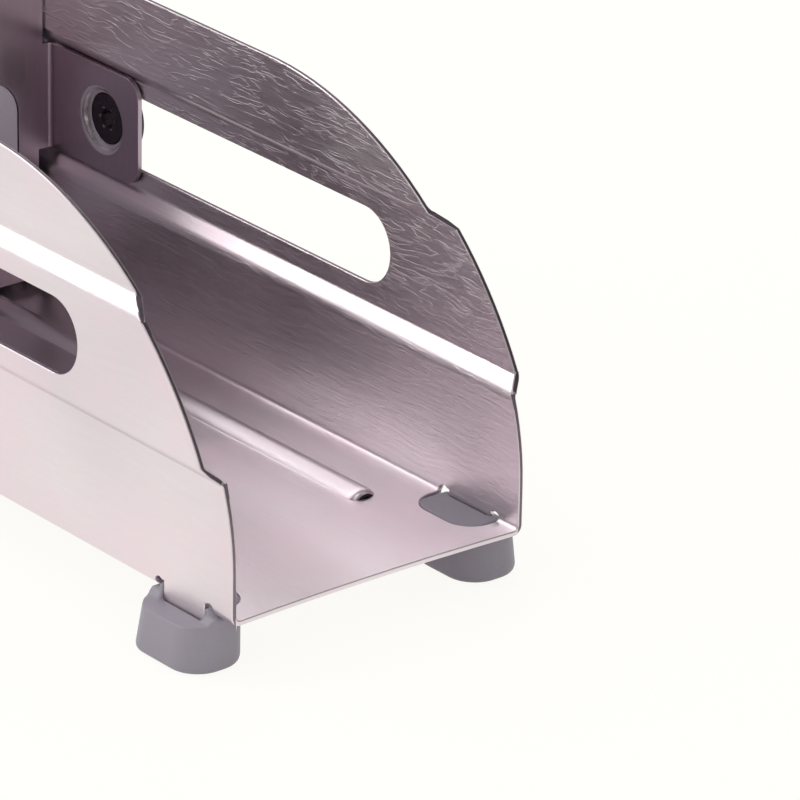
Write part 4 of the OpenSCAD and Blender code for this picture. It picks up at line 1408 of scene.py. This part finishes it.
@dataclass
class SlideStacks(SubAssembly):
    """The countersunk bolts that slide in the slots, with bushes, washers and cap nuts."""

    bolt: float = 3 * MM
    key: float = 2.6 * MM
    key_depth: float = 1.8 * MM
    chamfer: float = 0.2 * MM
    lip_share: float = 1.12
    land: float = 0.3 * MM
    land_share: float = 0.95
    cone: float = 3.2 * MM
    tip: float = 0.4 * MM
    tip_share: float = 0.85
    socket_reach: float = 1.1
    facing_out: float = 0.9
    nut_bore: float = 2.7 * MM
    nut_share: float = 0.6

    def build(self) -> None:
        """Builds both stacks."""
        head, shank = turned_size("slide_bolts")
        rings = [Ring(self.key_depth, self.key, HEX), Ring(self.chamfer, self.key, HEX),
                 Ring(0.0, self.key * self.lip_share), Ring(0.0, head * self.land_share),
                 Ring(self.land, head), Ring(self.cone, self.bolt),
                 Ring(shank - self.tip, self.bolt), Ring(shank, self.bolt * self.tip_share)]
        bolts = self.pair("slide_bolts", rings, self.finishes.dark)
        low, high = half_box("slide_bolts")
        middle = (low + high) / 2
        # Painted highlight: the socket's walls take the brighter turned-steel finish, for glints
        # round the hex.
        reach = self.key * self.socket_reach
        also(bolts, self.finishes.hardware,
             lambda face: abs(face.normal.y) < self.facing_out and reach > math.hypot(
                 face.center.x - middle.x, face.center.z - middle.z))
        self.collar("slide_bushes", self.bolt, self.finishes.nylon)
        self.collar("slide_washers", self.bolt, self.finishes.hardware)
        nut = acorn(self.nut_bore, *turned_size("slide_nuts"), self.nut_share)
        self.pair("slide_nuts", nut, self.finishes.hardware)


@dataclass
class Linkage(SubAssembly):
    """The lever arms, the links and the crank pins that join them."""

    bar_edge: float = 0.35 * MM
    pin: float = 3 * MM
    chamfer: float = 0.3 * MM
    tip_share: float = 0.85
    rise: float = 2.2 * MM
    rim_share: float = 0.6

    def build(self) -> None:
        """Builds both sides."""
        for side in Side:
            for bar, finish in (("link", self.finishes.link), ("lever_arm", self.finishes.bar)):
                softened(f"{bar}_{side.name.lower()}", finish, self.bar_edge)
        head, length = turned_size("crank_pins")
        rim = length - self.rise * self.rim_share
        rings = [Ring(0.0, self.pin * self.tip_share), Ring(self.chamfer, self.pin),
                 Ring(length - self.rise, self.pin), Ring(length - self.rise, head),
                 Ring(rim, head), *domed(head, rim, length)]
        self.pair("crank_pins", rings, self.finishes.hardware)
        self.collar("crank_caps", self.pin, self.finishes.hardware)


@dataclass
class Handle(SubAssembly):
    """The rod across the arms with its acorn nuts, and the ribbed grip on it."""

    rod: float = 4 * MM
    rod_ease: float = 0.2 * MM
    tip_share: float = 0.85
    chamfer_share: float = 0.15
    nut_share: float = 0.56
    ribs: int = 22
    rib_depth: float = 0.7 * MM

    def build(self) -> None:
        """Builds the handle."""
        low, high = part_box("grip_rod")
        length = high[1] - low[1]
        tip, chamfer = self.rod * self.tip_share, self.rod * self.chamfer_share
        rings = [Ring(0.0, tip), Ring(chamfer, self.rod), Ring(length - chamfer, self.rod),
                 Ring(length, tip)]
        place = Matrix.Translation(((low[0] + high[0]) / 2, low[1], (low[2] + high[2]) / 2))
        rod = lathed("grip_rod_turned", eased(rings, self.rod_ease),
                     place @ rotation(-QUARTER, "X"))
        rod.data.materials.append(self.finishes.hardware)
        shade(rod)
        stand_in(rod, "grip_rod")
        low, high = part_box("grip_sleeve")
        grip = grown("grip_sleeve_ribbed", shared(grip_tree),
                     {"Half": (high[1] - low[1]) / 2, "Radius": (high[2] - low[2]) / 2,
                      "Ribs": float(self.ribs), "Depth": self.rib_depth,
                      "Middle": ((low[0] + high[0]) / 2, 0.0, (low[2] + high[2]) / 2),
                      "Finish": self.finishes.grip})
        shade(grip, limit=60.0)
        stand_in(grip, "grip_sleeve")
        nut = acorn(self.rod, *turned_size("rod_nuts"), self.nut_share)
        self.pair("rod_nuts", nut, self.finishes.hardware)


@dataclass
class Pivots(SubAssembly):
    """The bolts that the arms turn on, with their washers, spacers and nuts."""

    bolt: float = 4 * MM
    key: float = 2.9 * MM
    head_rise: float = 4 * MM
    head_ease: float = 0.25 * MM
    thread: float = 1.25 * MM
    thread_start: float = 0.6
    thread_root: float = 0.86
    thread_rings: int = 8

    def build(self) -> None:
        """Builds both pivots."""
        head, length = turned_size("pivot_bolts")
        rings = button(self.bolt, head, self.head_rise, length - self.head_rise, self.key)
        end = [replace(ring, height=ring.height + length - self.head_rise) for ring in rings]
        threads = [Ring(self.thread * (self.thread_start + step / 2),
                        self.bolt * (self.thread_root, 1.0)[step % 2])
                   for step in range(self.thread_rings)]
        self.pair("pivot_bolts", [end[0], *threads, *eased(end[2:], self.head_ease)],
                  self.finishes.hardware)
        self.collar("pivot_washers", self.bolt, self.finishes.hardware)
        self.collar("pivot_spacers", self.bolt, self.finishes.hardware)
        radius, height = turned_size("pivot_nuts")
        nut = [Ring(0.0, self.bolt), *hexagon(radius, 0.0, height), Ring(height, self.bolt)]
        self.pair("pivot_nuts", nut, self.finishes.hardware, bored=True)


# ---------- studio ----------


@dataclass(frozen=True)
class Lamp:
    """A soft box that faces the middle of the channel.

    Args:
        name: its name.
        towards: the direction in which it hangs.
        distance: how far away it hangs, in metres.
        size: its width, which is level, and its height, in metres.
        radiance: how bright its face is, where the paper is 1.
    """

    name: str
    towards: Colour
    distance: float
    size: tuple[float, float]
    radiance: float

    def hang(self, aim: Vector) -> None:
        """Adds the lamp, facing a place."""
        data = bpy.data.lights.new(self.name, "AREA")
        data.shape = "RECTANGLE"
        data.size, data.size_y = self.size
        data.energy = self.radiance * math.pi * self.size[0] * self.size[1]
        lamp = linked(self.name, data)
        place = aim + Vector(self.towards).normalized() * self.distance
        facing = (aim - place).to_track_quat("-Z", "Y")
        lamp.matrix_world = Matrix.Translation(place) @ facing.to_matrix().to_4x4()
        lamp.visible_camera = False


@dataclass
class Studio:
    """Pale floor and backdrop, four soft lamps, and the camera."""

    eye: Vector = field(default_factory=lambda: Vector((1.15312, -0.83631, 0.62922)))
    aim: Vector = field(default_factory=lambda: Vector((0.06, 0.0, 0.05)))
    azimuth: float = 50.547
    elevation: float = 23.492
    roll: float = 1.037
    lens: float = 305.45
    sensor: float = 36.0
    nearest: float = 0.05
    farthest: float = 20.0
    paper: Colour = srgb(255, 254, 250)
    paper_roughness: float = 0.9
    floor_half: float = 3.0
    shadow: float = 0.07
    ambient: float = 0.7
    room: float = 0.2
    ceiling: tuple[float, float] = (0.12, 0.3)
    far_wall: tuple[float, float] = (0.0, 0.4)
    lamps: tuple[Lamp, ...] = (Lamp("overhead", (-0.62, 0.05, 0.78), 1.6, (2.0, 1.0), 1.8),
                               Lamp("side", (-0.60, -0.60, 0.53), 1.7, (1.1, 0.7), 2.8),
                               Lamp("fill", (0.78, -0.40, 0.48), 1.8, (0.8, 0.8), 0.9),
                               Lamp("top", (0.25, -0.25, 0.93), 1.6, (1.0, 1.0), 1.2))

    def build(self) -> None:
        """Makes the camera, the floor, the lamps and the world."""
        self.camera()
        self.floor()
        for lamp in self.lamps:
            lamp.hang(self.aim)
        self.world()

    def camera(self) -> None:
        """Places the camera and makes it the scene's own."""
        data = bpy.data.cameras.new("camera")
        data.lens = self.lens
        data.sensor_width = self.sensor
        data.clip_start = self.nearest
        data.clip_end = self.farthest
        camera = linked("camera", data)
        level = 90.0
        turn = (rotation(math.radians(self.azimuth), "Z")
                @ rotation(math.radians(level - self.elevation), "X")
                @ rotation(math.radians(self.roll), "Z"))
        camera.matrix_world = Matrix.Translation(self.eye) @ turn
        bpy.context.scene.camera = camera

    def floor(self) -> None:
        """Lays a pale floor, brighter to the camera and in reflections, as stage."""
        material, build, shader = blank_material("paper")
        build.fill(shader, {"Base Color": self.paper, "Roughness": self.paper_roughness})
        light = build.add("ShaderNodeEmission", {"Color": self.paper})
        path = build.add("ShaderNodeLightPath").outputs
        seen = build.math("MAXIMUM", path["Is Camera Ray"],
                          build.math("MAXIMUM", path["Is Glossy Ray"],
                                     path["Is Transmission Ray"]))
        blend = build.add("ShaderNodeMixShader", {0: build.times(seen, 1.0 - self.shadow),
                                                  1: shader.outputs[0], 2: light.outputs[0]})
        build.fill(material.node_tree.nodes["Material Output"], {"Surface": blend.outputs[0]})
        mesh = bpy.data.meshes.new("floor")
        half = self.floor_half
        mesh.from_pydata([(-half, -half, 0), (half, -half, 0), (half, half, 0),
                          (-half, half, 0)], [], [(0, 1, 2, 3)])
        mesh.materials.append(material)
        linked("floor", mesh)

    def world(self) -> None:
        """Gives the surroundings a pale wall, and for reflections a dim ceiling and room."""
        world = bpy.data.worlds.new("surroundings")
        world.use_nodes = True
        build = Shading(world.node_tree)
        x, _, z = build.split(build.add("ShaderNodeTexCoord").outputs["Generated"])
        away = build.math("MAXIMUM", build.ramp(z, *self.ceiling), build.ramp(x, *self.far_wall))
        mirrored = build.minus(1.0, build.times(away, 1.0 - self.room))
        path = build.add("ShaderNodeLightPath").outputs
        seen = build.math("MAXIMUM", path["Is Camera Ray"], path["Is Transmission Ray"])
        strength: Value = self.ambient
        for share, value in ((path["Is Glossy Ray"], mirrored), (seen, 1.0)):
            strength = build.add("ShaderNodeMix",
                                 {"Factor": share, 2: strength, 3: value}).outputs[0]
        build.fill(world.node_tree.nodes["Background"], {"Color": self.paper,
                                                         "Strength": strength})
        bpy.context.scene.world = world


def main() -> None:
    """Builds the studio and dresses every piece."""
    logging.basicConfig(level=logging.INFO)
    bpy.context.scene.view_settings.view_transform = "Standard"
    Studio().build()
    finishes = Finishes()
    Channel(finishes).build()
    Feet(finishes).build()
    for group in (BladeUnit, Carriage, SlideStacks, Linkage, Handle, Pivots):
        group(finishes).build()


if __name__ == "__main__":
    main()
